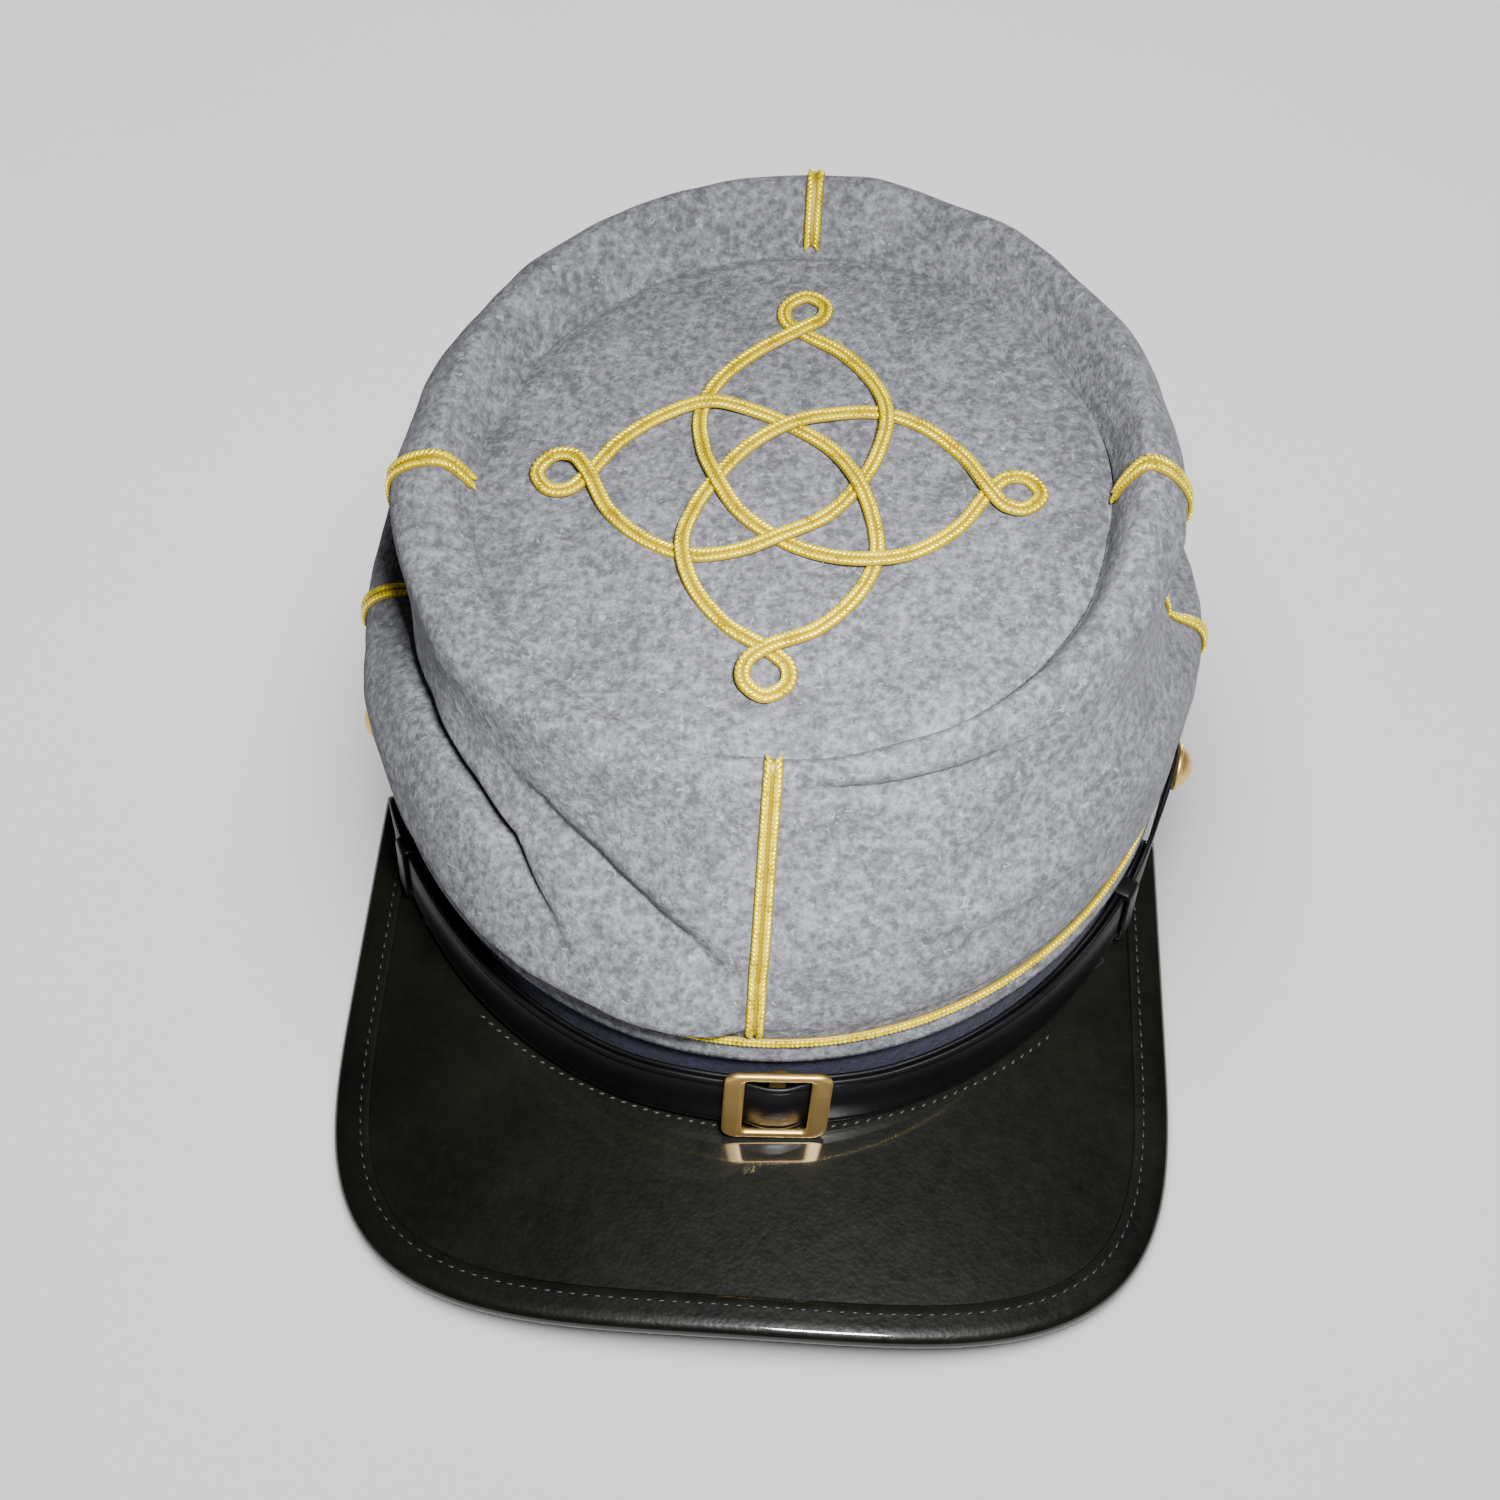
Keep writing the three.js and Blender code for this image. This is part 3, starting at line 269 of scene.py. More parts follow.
def running_length(line):
    return np.concatenate([[0], np.cumsum(np.linalg.norm(np.diff(line, axis=0), axis=1))])


def between(t, start, end, a, b):
    return (end - t) / (end - start) * a + (t - start) / (end - start) * b


def curve_through(points, closed=False, steps=24):
    """Centripetal curve through points, as a dense line with its running length"""
    p = np.asarray(points, float)
    if closed:
        q = np.vstack([p[-1:], p, p[:2]])
    else:
        q = np.vstack([2 * p[0] - p[1], p, 2 * p[-1] - p[-2]])
    dense = []
    for i in range(1, len(q) - 2):
        p0, p1, p2, p3 = q[i - 1:i + 3]
        t1 = np.linalg.norm(p1 - p0) ** 0.5
        t2 = t1 + np.linalg.norm(p2 - p1) ** 0.5
        t3 = t2 + np.linalg.norm(p3 - p2) ** 0.5
        t = np.linspace(t1, t2, steps, endpoint=False)[:, None]
        a1, a2, a3 = between(t, 0, t1, p0, p1), between(t, t1, t2, p1, p2), between(t, t2, t3, p2, p3)
        dense.append(between(t, t1, t2, between(t, 0, t2, a1, a2), between(t, t1, t3, a2, a3)))
    dense = np.vstack(dense + [q[-2:-1]])
    return dense, running_length(dense)


def at_shares(line, length, shares):
    """Points at shares of a line's running length"""
    return np.stack([np.interp(shares * length[-1], length, column) for column in line.T], 1)


def wall_line(azimuth):
    """Outline of the wall at an azimuth, without folds, from its foot to the top seam"""
    (lip_out, bulge_at, bulge_out, waist_at, waist_out,
     roll_out, roll_up, crest_out, crest_up) = section_at(azimuth)
    d = outward(azimuth)
    neck = on_oval(azimuth, FOOT_OUT, NECK)
    seam = on_top(TOP_RADIUS * d[0], TOP_RADIUS * d[1])
    lip = neck + d * (lip_out - FOOT_OUT)
    lip[2] = LIP
    up = np.array([0, 0, 1.0])
    return curve_through([
        on_oval(azimuth, FOOT_OUT + FOOT_FLARE, WALL_FOOT),
        on_oval(azimuth, FOOT_OUT + FOOT_FLARE * 0.7, BAND_TOP + 1.9),
        on_oval(azimuth, FOOT_OUT, BASE_BRAID_Z - BASE_BRAID_HEIGHT / 2), neck, lip,
        neck + (seam - neck) * bulge_at + d * bulge_out, neck + (seam - neck) * waist_at + d * waist_out,
        seam + d * roll_out + up * roll_up, seam + d * crest_out + up * crest_up, seam])


def fold_shape(azimuths, shares):
    """Depth of the folds under the plain wall, and how far the cloth above them slides down, in mm"""
    depth = np.zeros(np.broadcast(azimuths, shares).shape)
    slide, puff = np.zeros_like(depth), np.zeros_like(depth)
    for _, above, below, overhang, line in FOLDS:
        for turn in (-360, 0, 360):
            nearest = np.full_like(depth, 1e9)
            side, along_depth = np.zeros_like(depth), np.zeros_like(depth)
            for (a0, s0, d0), (a1, s1, d1) in zip(line, line[1:]):
                ax, ay = (a0 + turn - azimuths) * AROUND, (s0 - shares) * HEIGHT
                lx, ly = (a1 - a0) * AROUND, (s1 - s0) * HEIGHT
                t = np.clip(-(ax * lx + ay * ly) / (lx * lx + ly * ly), 0, 1)
                away = np.hypot(ax + t * lx, ay + t * ly)
                signed = np.where(lx * ay - ly * ax < 0, away, -away)
                closer = away < nearest
                side = np.where(closer, signed, side)
                along_depth = np.where(closer, d0 + (d1 - d0) * t, along_depth)
                nearest = np.where(closer, away, nearest)
            width = np.where(side > 0, above, below)
            depth = np.maximum(depth, along_depth * np.exp(-(side / width) ** 2))
            over = overhang * along_depth * smoothstep(side / OVER_START)
            slide = np.maximum(slide, over * np.exp(-(side / OVER_REACH) ** 2))
            puff = np.maximum(puff, PUFF_SHARE * over * np.exp(-((side - PUFF_AT) / PUFF_WIDTH) ** 2))
    return depth - puff, slide


def ripples(points, rows):
    """Smooth random unevenness in mm, each row's from 14 waves in all directions"""
    height = 0
    for share, wavelength, seed in rows:
        source = np.random.default_rng(seed)
        total = np.zeros(points.shape[:-1])
        for _ in range(14):
            way = source.normal(size=3)
            way *= 2 * math.pi / wavelength * source.uniform(0.6, 1.5) / np.linalg.norm(way)
            total += np.sin(points @ way + source.uniform(0, 2 * math.pi))
        height = height + share * (total / 4)
    return height


def seam_tuck(azimuth):
    """Depth of the crease at the top seam, least where the wall and the top run on smoothly"""
    from_smooth = np.abs((azimuth - SMOOTH_AT + 180) % 360 - 180)
    from_left = np.abs((azimuth - LEFT_AT + 180) % 360 - 180)
    return (TUCK_LEAST + TUCK_MOST * smoothstep((from_smooth - 30) / 30)
            + TUCK_ON_LEFT * smoothstep((60 - from_left) / 25))


def wall_grid(azimuths, rows):
    """Points and outward normals of the folded wall, one line for each azimuth"""
    flat, around, shares, lengths = [], [], [], []
    for azimuth in azimuths:
        dense, length = wall_line(azimuth)
        lengths.append(length[-1])
        neck = (NECK - WALL_FOOT) / length[-1]
        share = np.concatenate([np.linspace(0, neck, FOOT_ROWS, False), np.linspace(neck, 1, rows + 1)])
        shares.append(share)
        flat.append(at_shares(dense, length, share))
        ahead, behind = (at_shares(*wall_line(azimuth + step), share) for step in (0.5, -0.5))
        around.append(ahead - behind)
    flat, around, shares, lengths = (np.array(v) for v in (flat, around, shares, lengths))
    rise = np.gradient(flat, axis=1)
    normal = unit(np.cross(around, rise))
    depth, slide = fold_shape(np.asarray(azimuths)[:, None], shares)
    depth = depth - smoothstep((shares - RIPPLES_FROM) / RIPPLES_WITHIN) * ripples(flat, WALL_RIPPLES)
    below_seam = (1 - shares) * lengths[:, None] / TUCK_WIDTH
    tuck = seam_tuck(np.asarray(azimuths))[:, None] * np.exp(-below_seam ** 2)
    moved = flat - depth[..., None] * normal - slide[..., None] * unit(rise) - tuck[..., None] * TOP_NORMAL
    return moved, normal


def skin(grid, closed):
    """Faces between rings of points, from the last ring to the first too where closed"""
    count, width = grid.shape[:2]
    faces = []
    for i in range(count if closed else count - 1):
        a, b = i * width, ((i + 1) % count) * width
        for j in range(width):
            k = (j + 1) % width
            faces.append((a + j, b + j, b + k, a + k))
    return faces


def make_mesh(name, points, faces):
    """Smooth mesh, its faces turned outward, laid on the table with the rest of the cap"""
    mesh = bpy.data.meshes.new(name)
    mesh.from_pydata(laid(points).tolist(), [], faces)
    shape = bmesh.new()
    shape.from_mesh(mesh)
    bmesh.ops.recalc_face_normals(shape, faces=shape.faces)
    if shape.calc_volume(signed=True) < 0:
        bmesh.ops.reverse_faces(shape, faces=shape.faces)
    shape.to_mesh(mesh)
    shape.free()
    mesh.shade_smooth()
    return mesh


def tube(name, rings, closed):
    """Mesh of rings of points that runs round in a loop, or has a flat cap at each end"""
    grid = np.array(rings)
    faces = skin(grid, closed)
    count, width = grid.shape[:2]
    if not closed:
        faces += [tuple(range(width)), tuple(range((count - 1) * width, count * width))]
    return make_mesh(name, grid.reshape(-1, 3), faces)


def domed(name, rings, first, last):
    """Mesh of rings of points that closes in a point before the first and after the last"""
    grid = np.array(rings)
    faces = skin(grid, False)
    count, width = grid.shape[:2]
    end = count * width
    for j in range(width):
        k = (j + 1) % width
        faces += [(end, j, k), (end + 1, end - width + k, end - width + j)]
    return make_mesh(name, np.vstack([grid.reshape(-1, 3), [first], [last]]), faces)


# Milled wool flannel, dyed in the fibre and woven in greys: matt, softly mottled in patches of one or
# two millimetres, with single pale and dark fibres and a short nap that catches the light at the edges.
# Fibres of 0.03 mm are drawn 0.5 mm wide, the finest that shows.
def wool_material(name, dark, middle, pale, fleck):
    made, tree, place = new_material(name)
    mottle = add_node(tree, "ShaderNodeTexNoise", {"Vector": place, "Scale": 1 / 0.0019, "Detail": 2.0,
                      "Roughness": 0.6})
    fibre = add_node(tree, "ShaderNodeTexNoise", {"Vector": place, "Scale": 1 / 0.0009, "Detail": 2.0,
                     "Roughness": 0.7, "Distortion": 0.4})
    cloud = add_node(tree, "ShaderNodeTexNoise", {"Vector": place, "Scale": 1 / 0.011, "Detail": 3.0})
    blend = 0.0
    for noise, share in ((mottle, 0.6), (fibre, 0.3), (cloud, 0.2)):
        blend = add_node(tree, "ShaderNodeMath", {0: noise.outputs["Fac"], 1: share, 2: blend},
                         operation="MULTIPLY_ADD").outputs[0]
    ramp = add_node(tree, "ShaderNodeValToRGB", {"Fac": blend})
    stops = ramp.color_ramp.elements
    stops[0].position, stops[0].color = 0.44, linear(dark)
    stops[1].position, stops[1].color = 0.68, linear(pale)
    stops.new(0.56).color = linear(middle)
    flecks = add_node(tree, "ShaderNodeTexNoise", {"Vector": place, "Scale": 1 / 0.0016, "Detail": 1.0,
                      "Distortion": 1.0})
    sparse = add_node(tree, "ShaderNodeMapRange", {"Value": flecks.outputs["Fac"], "From Min": 0.66,
                      "From Max": 0.74, "To Min": 0.0, "To Max": 0.55})
    colour = add_node(tree, "ShaderNodeMix", {"Factor": sparse.outputs[0], "A": ramp.outputs["Color"],
                      "B": linear(fleck)}, data_type="RGBA")
    nap = add_node(tree, "ShaderNodeBump", {"Strength": 0.55, "Distance": 0.0006,
                   "Height": fibre.outputs["Fac"]})
    felt = add_node(tree, "ShaderNodeBump", {"Strength": 0.35, "Distance": 0.0012,
                    "Height": mottle.outputs["Fac"], "Normal": nap.outputs[0]})
    surface = add_node(tree, "ShaderNodeBsdfPrincipled", {
        "Base Color": colour.outputs["Result"], "Roughness": 0.92, "Specular IOR Level": 0.15,
        "Sheen Weight": 0.08, "Sheen Roughness": 0.5, "Sheen Tint": linear("#e6e8ee"),
        "Normal": felt.outputs[0]})
    add_node(tree, "ShaderNodeOutputMaterial", {"Surface": surface.outputs[0]})
    return made


grey_wool = wool_material("milled grey wool", "#4f5054", "#68696f", "#808287", "#9b9ea4")

WALL_AZIMUTHS = np.concatenate([np.arange(0, 252, 1.0), np.arange(252, 360, 0.6)])
outer, outer_normal = wall_grid(WALL_AZIMUTHS, 124)
inner = (outer - CLOTH * outer_normal)[:, :-5:4][:, ::-1]
seam_edge = outer[:, -1:] - CLOTH * TOP_NORMAL
wall_points = np.concatenate([outer, seam_edge, inner], axis=1)
crown_wall = new_object("crown_wall", tube("crown_wall", wall_points, True), grey_wool)
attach(crown_wall, "root")
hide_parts("crown_side")


# Round top.
# A flat disc of the same wool, sewn into the wall with its edges turned in, so a crease runs round it.
# It sags a little between the stitches and tucks under the rolled rim.
TOP_RIPPLES = ((0.35, 30.0, 7), (0.12, 10.0, 8))    # height, wavelength in mm, seed
TOP_CALM = 12.0                                     # the ripples die out this near the seam


def disc_point(radius, azimuth):
    point = on_top(*(radius * outward(azimuth)[:2]))
    from_seam = TOP_RADIUS - radius
    tuck = seam_tuck(azimuth) * math.exp(-(from_seam / TUCK_WIDTH) ** 2)
    return point + TOP_NORMAL * (smoothstep(from_seam / TOP_CALM) * ripples(point, TOP_RIPPLES) - tuck)


radii = np.concatenate([np.linspace(TOP_RADIUS / 44, TOP_RADIUS - 3, 42),
                        TOP_RADIUS - np.array([2.4, 1.8, 1.2, 0.6, 0.0])])
disc_azimuths = np.arange(0, 360, 1.5)
disc_rings = [[disc_point(radius, azimuth) for azimuth in disc_azimuths] for radius in radii]
disc_rings.append([disc_point(TOP_RADIUS, azimuth) + 0.5 * outward(azimuth) - 0.5 * TOP_NORMAL
                   for azimuth in disc_azimuths])
disc_rings += [[on_top(*(radius * outward(azimuth)[:2]), -CLOTH) for azimuth in disc_azimuths]
               for radius in (TOP_RADIUS - 1.5, TOP_RADIUS / 2, 2.0)]
round_top = new_object("round_top", domed("round_top", disc_rings, disc_point(0, 0),
                       on_top(0, 0, -CLOTH)), grey_wool)
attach(round_top, "root")
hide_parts("crown_top")


# Band.
# A firm oval of dark navy wool cloth over a stiff base. It stands on the visor in front and lies flat
# on the table behind. Its lower edge is turned under.
BAND_THICKNESS, BAND_CORNER, BAND_REAR_EDGE = 2.4, 0.7, 2.3
BAND_LEAVES_VISOR, BAND_MEETS_TABLE = 78, 132       # degrees from the front
VISOR_HEIGHT, VISOR_SLOPE, VISOR_DROOP, VISOR_DROOP_AT = 1.9, math.radians(5.6), 7.0, 95.0


def visor_top(x, y):
    return (VISOR_HEIGHT + (y + BAND_HALF_LENGTH) * math.tan(VISOR_SLOPE)
            - VISOR_DROOP * (x / VISOR_DROOP_AT) ** 2)


def band_edge(azimuth, point):
    side = abs((azimuth + 180) % 360 - 180)
    on_visor = visor_top(point[0], point[1]) + 0.3
    on_table = BAND_REAR_EDGE - (BAND_HALF_LENGTH - point[1]) * math.tan(REST_TILT)
    share = smoothstep((side - BAND_LEAVES_VISOR) / (BAND_MEETS_TABLE - BAND_LEAVES_VISOR))
    return on_visor + (on_table - on_visor) * share


def band_section(azimuth):
    """Up the outer face, over the top edge and down the inner face, with rounded corners"""
    low, high = band_edge(azimuth, on_oval(azimuth, 0, 0)), BAND_TOP
    inner_low = band_edge(azimuth, on_oval(azimuth, -BAND_THICKNESS, 0))
    section = [(0, level) for level in np.linspace(low + BAND_CORNER, high - BAND_CORNER, 14)]
    section += [(-0.2, high - 0.2), (-BAND_CORNER, high), (-BAND_THICKNESS + 0.2, high)]
    section += [(-BAND_THICKNESS, level) for level in np.linspace(high - 0.3, inner_low + 0.4, 6)]
    section += [(-BAND_THICKNESS + 0.3, inner_low + 0.01), (-BAND_CORNER, low + 0.01), (-0.2, low + 0.2)]
    return [on_oval(azimuth, out, level) for out, level in section]


navy_wool = wool_material("navy wool cloth", "#0b0c1b", "#11132a", "#1b1e3c", "#2e3256")
band_sections = [band_section(azimuth) for azimuth in np.arange(0, 360, 1.5)]
band = new_object("navy_band", tube("navy_band", band_sections, True), navy_wool)
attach(band, "root")
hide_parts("band")


# Gold braid.
# Soutache: two ribs of metal thread plaited over a cord core, stitched down by hand. It runs round the foot
# of the crown, 2.3 mm wide, up the four quarters, 4 mm, and in one closed knot on the round top, 3.4 mm.
def thread_row_tree():
    """Geometry Nodes: one row of short threads laid side by side along a path"""
    made = bpy.data.node_groups.new("row of threads", "GeometryNodeTree")
    made.interface.new_socket("Geometry", in_out="INPUT", socket_type="NodeSocketGeometry")
    for name in ("Pitch", "Offset", "Slant", "Length", "Width", "Height", "Lift"):
        made.interface.new_socket(name, in_out="INPUT", socket_type="NodeSocketFloat")
    made.interface.new_socket("Material", in_out="INPUT", socket_type="NodeSocketMaterial")
    made.interface.new_socket("Geometry", in_out="OUTPUT", socket_type="NodeSocketGeometry")
    given = made.nodes.new("NodeGroupInput").outputs
    path = add_node(made, "GeometryNodeMeshToCurve", {"Mesh": given["Geometry"]})
    even = add_node(made, "GeometryNodeResampleCurve", {"Curve": path.outputs[0], "Length": given["Pitch"]},
                    mode="LENGTH")
    normal = add_node(made, "GeometryNodeInputNamedAttribute", {"Name": "up"}, data_type="FLOAT_VECTOR")
    along = add_node(made, "GeometryNodeInputTangent")
    upright = add_node(made, "FunctionNodeAlignRotationToVector", {"Vector": normal.outputs[0]}, axis="Z")
    turned = add_node(made, "FunctionNodeAlignRotationToVector", {"Rotation": upright.outputs[0],
                      "Vector": along.outputs[0]}, axis="X", pivot_axis="Z")
    ball = add_node(made, "GeometryNodeMeshUVSphere", {"Segments": 6, "Rings": 4, "Radius": 0.5})
    size = add_node(made, "ShaderNodeCombineXYZ", {0: given["Length"], 1: given["Width"], 2: given["Height"]})
    thread = add_node(made, "GeometryNodeTransform", {"Geometry": ball.outputs[0], "Scale": size.outputs[0]})
    smooth = add_node(made, "GeometryNodeSetShadeSmooth", {"Geometry": thread.outputs[0]})
    placed = add_node(made, "GeometryNodeInstanceOnPoints", {"Points": even.outputs[0],
                      "Instance": smooth.outputs[0], "Rotation": turned.outputs[0]})
    shift = add_node(made, "ShaderNodeCombineXYZ", {1: given["Offset"], 2: given["Lift"]})
    moved = add_node(made, "GeometryNodeTranslateInstances", {"Instances": placed.outputs[0],
                     "Translation": shift.outputs[0], "Local Space": True})
    wobble = add_node(made, "FunctionNodeRandomValue", {2: -0.08, 3: 0.08, "Seed": 11}, data_type="FLOAT")
    angle = add_node(made, "ShaderNodeMath", {0: given["Slant"], 1: wobble.outputs[1]}, operation="ADD")
    tilt = add_node(made, "ShaderNodeCombineXYZ", {2: angle.outputs[0]})
    spun = add_node(made, "GeometryNodeRotateInstances", {"Instances": moved.outputs[0],
                    "Rotation": tilt.outputs[0], "Local Space": True})
    real = add_node(made, "GeometryNodeRealizeInstances", {"Geometry": spun.outputs[0]})
    painted = add_node(made, "GeometryNodeSetMaterial", {"Geometry": real.outputs[0],
                       "Material": given["Material"]})
    add_node(made, "NodeGroupOutput", {0: painted.outputs[0]})
    return made


THREAD_ROW = thread_row_tree()


def thread_row(points, ups, closed, material, **sizes):
    """Runs the tree on a path given in mm, with sizes in mm, and gives the plain mesh"""
    count = len(points)
    path = bpy.data.meshes.new("path")
    edges = [(i, i + 1) for i in range(count - 1)] + ([(count - 1, 0)] if closed else [])
    path.from_pydata(laid(points).tolist(), edges, [])
    turned = laid(np.asarray(ups)) - laid((0, 0, 0))
    path.attributes.new("up", "FLOAT_VECTOR", "POINT").data.foreach_set("vector", (turned * 1000).ravel())
    carrier = new_object("path", path)
    run = carrier.modifiers.new("threads", "NODES")
    run.node_group = THREAD_ROW
    given = {"Material": material, "Slant": sizes.pop("Slant")}
    given.update((name, value / 1000) for name, value in sizes.items())
    for item in THREAD_ROW.interface.items_tree:
        if item.name in given:
            run[item.identifier] = given[item.name]
    ready = carrier.evaluated_get(bpy.context.evaluated_depsgraph_get())
    made = bpy.data.meshes.new_from_object(ready)
    carrier.modifiers.remove(run)
    bpy.data.objects.remove(carrier)
    bpy.data.meshes.remove(path)
    return made


def joined(name, meshes, *materials):
    """One object from several plain meshes, each given with the number of its material"""
    shape = bmesh.new()
    for mesh, slot in meshes:
        start = len(shape.faces)
        shape.from_mesh(mesh)
        shape.faces.ensure_lookup_table()
        for face in shape.faces[start:]:
            face.material_index = slot
            face.smooth = True
    made = bpy.data.meshes.new(name)
    shape.to_mesh(made)
    shape.free()
    return new_object(name, made, *materials)


# Gilt metal thread, flat wire spun round a silk core, bright where a thread turns to the light: that
# brightness is painted into the colour, in small random spots as a painted glint over broader patches of wear
# and sheen. The amber between the threads is the braid's core, darkened as painted shade.
gilt, tree, place = new_material("gilt metal thread")
wear_and_sheen = add_node(tree, "ShaderNodeTexNoise", {"Vector": place, "Scale": 1 / 0.004, "Detail": 2.0})
# glint: small spots of the colour painted brighter, a painted glint; the same noise gives the wire its bump
glint = add_node(tree, "ShaderNodeTexNoise", {"Vector": place, "Scale": 1 / 0.0006, "Detail": 1.0})
amount = add_node(tree, "ShaderNodeMath", {0: wear_and_sheen.outputs["Fac"], 1: glint.outputs["Fac"]}, operation="ADD")
ramp = add_node(tree, "ShaderNodeValToRGB", {"Fac": amount.outputs[0]})
for stop, at, colour in zip(ramp.color_ramp.elements, (0.75, 1.2), ("#b49a00", "#f6e000")):
    stop.position, stop.color = at, linear(colour)
wire = add_node(tree, "ShaderNodeBump", {"Strength": 0.4, "Distance": 0.0002, "Height": glint.outputs["Fac"]})
surface = add_node(tree, "ShaderNodeBsdfPrincipled", {"Base Color": ramp.outputs["Color"], "Metallic": 0.4,
                   "Roughness": 0.25, "Normal": wire.outputs[0]})
add_node(tree, "ShaderNodeOutputMaterial", {"Surface": surface.outputs[0]})

# Core of the braid, a cord that shows between the threads; its darker amber is painted shade for the gaps
braid_core_in_painted_shade = two_tone_material("braid core darkened as painted shade", 1 / 0.0015, 2.0, "#786200", "#a48a00",
                              {"Metallic": 0.1, "Roughness": 0.45})

BRAID_THREAD = {"Pitch": 0.95, "Width": 1.0, "Height": 0.85}
THREAD_SHARE, THREAD_SIDE, THREAD_SLANT, THREAD_LIFT = 0.62, 0.25, 0.6, 0.75
CORE_OUTLINE = ((-0.46, 0.0), (-0.48, 0.35), (-0.3, 0.8), (-0.05, 0.62),     # share of the width, mm up
                (0.05, 0.62), (0.3, 0.8), (0.48, 0.35), (0.46, 0.0))


def lay_braid(name, node, points, ups, closed, width, seat):
    """A braid along a path on the cloth: a low core and two slanted rows of threads"""
    points, ups = np.asarray(points, float), unit(np.asarray(ups, float))
    if closed:
        along = np.roll(points, -1, 0) - np.roll(points, 1, 0)
    else:
        along = np.gradient(points, axis=0)
    across = unit(np.cross(ups, unit(along)))
    core = np.stack([points + across * width * a + ups * (seat + b) for a, b in CORE_OUTLINE], 1)
    rows = [thread_row(points, ups, closed, gilt, Offset=side * width * THREAD_SIDE, Lift=seat + THREAD_LIFT,
                       Slant=side * THREAD_SLANT, Length=width * THREAD_SHARE, **BRAID_THREAD)
            for side in (-1, 1)]
    braid = joined(name, [(tube(name, core, closed), 1), (rows[0], 0), (rows[1], 0)], gilt, braid_core_in_painted_shade)
    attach(braid, "root")
    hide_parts(node)


# round the foot of the crown
ring_azimuths = np.arange(0, 360, 1.5)
ring_points = [on_oval(a, FOOT_OUT, BASE_BRAID_Z) for a in ring_azimuths]
ring_ups = [on_oval(a, 1, 0) - on_oval(a, 0, 0) for a in ring_azimuths]
lay_braid("foot_braid", "base_braid", ring_points, ring_ups, True, 2.3, 0.1)

# up each quarter, from the foot braid over the rolled rim to the top seam
for name, node, azimuth in (("front_braid", "braid_front", 0), ("right_braid", "braid_right", 88),
                            ("back_braid", "braid_back", 179), ("left_braid", "braid_left", 272)):
    line, _ = wall_grid([azimuth - 0.6, azimuth, azimuth + 0.6], 112)
    rise = np.gradient(line[1], axis=0)
    ups = np.cross(line[2] - line[0], rise)
    lay_braid(name, node, line[1][FOOT_ROWS + 1:-2], ups[FOOT_ROWS + 1:-2], False, 4.0, 0.1)

# the knot, one quarter of its closed line: u right, v back, and 1 where it passes over another strand
KNOT_CENTRE, KNOT_TURN, KNOT_OVER = (-0.9, -0.9), math.radians(2), 1.5
KNOT_QUARTER = (
    (0, 41, 1), (-9, 35.5, 0), (-16.5, 26.5, 0), (-19.4, 17.5, 0), (-18, 8, 0.3), (-14.6, 0, 1),
    (-8.6, -8.6, 0.3), (0, -14.6, 0), (8, -18, 0.3), (17.5, -19.4, 1), (26.5, -16.5, 0.3), (35.5, -9, 0),
    (41, 0, 0), (44.6, 4, 0), (48.6, 4.1, 0), (51.5, 0, 0.2), (48.6, -4.1, 0.5), (44.6, -4, 0.8))
knot_line = []
for quarter in range(4):
    angle = -math.pi / 2 * quarter - KNOT_TURN
    for u, v, over in KNOT_QUARTER:
        knot_line.append((u * math.cos(angle) - v * math.sin(angle),
                          u * math.sin(angle) + v * math.cos(angle), over * KNOT_OVER))
knot_dense, _ = curve_through(knot_line, closed=True, steps=8)
knot_points = [on_top(KNOT_CENTRE[0] + u, KNOT_CENTRE[1] + v, up) for u, v, up in knot_dense[:-1]]
lay_braid("knot", "knot_braid", knot_points, np.tile(TOP_NORMAL, (len(knot_points), 1)), True, 3.4, 0.25)


# Visor.
# One thick plate of black polished leather, square-cornered and gently drooping at the sides. A strip of
# the same leather is folded over its free edge and sewn through, and the plate is sewn to the band.
VISOR_THICKNESS, VISOR_REAR = 2.4, -25.0
VISOR_HALF_WIDTH, VISOR_CORNER_START, VISOR_CORNER_LENGTH, VISOR_CORNER_POWER = 91.1, -71.8, 76.3, 3.63
BINDING_THICKNESS, BINDING_TOP_WIDTH, BINDING_UNDER_WIDTH, STITCH_INSET = 0.8, 8.0, 5.0, 2.1
SEAT_STITCH_OUT, SEAT_STITCH_SPREAD = 3.5, 0.0012   # mm from the band, and more by degrees squared
VISOR_STEPS = 220


def visor_outline():
    """Free edge from the rear corner on the right round the front to the left, at even steps"""
    angle = np.linspace(0, math.pi, 1601)
    power = 2 / VISOR_CORNER_POWER
    x = VISOR_HALF_WIDTH * np.sign(np.cos(angle)) * np.abs(np.cos(angle)) ** power
    y = VISOR_CORNER_START - VISOR_CORNER_LENGTH * np.abs(np.sin(angle)) ** power
    line = np.vstack([[VISOR_HALF_WIDTH, VISOR_REAR], np.stack([x, y], 1), [-VISOR_HALF_WIDTH, VISOR_REAR]])
    return at_shares(line, running_length(line), np.linspace(0, 1, VISOR_STEPS + 1))


visor_line = visor_outline()
visor_along = unit(np.gradient(visor_line, axis=0))
visor_inward = np.stack([visor_along[:, 1], -visor_along[:, 0]], 1)


def on_visor(xy, up=0.0):
    return np.array([xy[0], xy[1], visor_top(xy[0], xy[1]) + up])


rear = math.degrees(math.acos(-VISOR_REAR / BAND_HALF_LENGTH))
visor_sections = []
for step in range(VISOR_STEPS + 1):
    near = on_oval(rear - 2 * rear * step / VISOR_STEPS, -BAND_THICKNESS, 0)[:2]
    far = visor_line[step] + visor_inward[step] * (BINDING_THICKNESS + 0.15)
    top_row = [on_visor(near + (far - near) * t) for t in np.linspace(0, 1, 26)]
    under_row = [on_visor(near + (far - near) * t, -VISOR_THICKNESS) for t in np.linspace(1, 0, 14)]
    visor_sections.append(top_row + under_row)
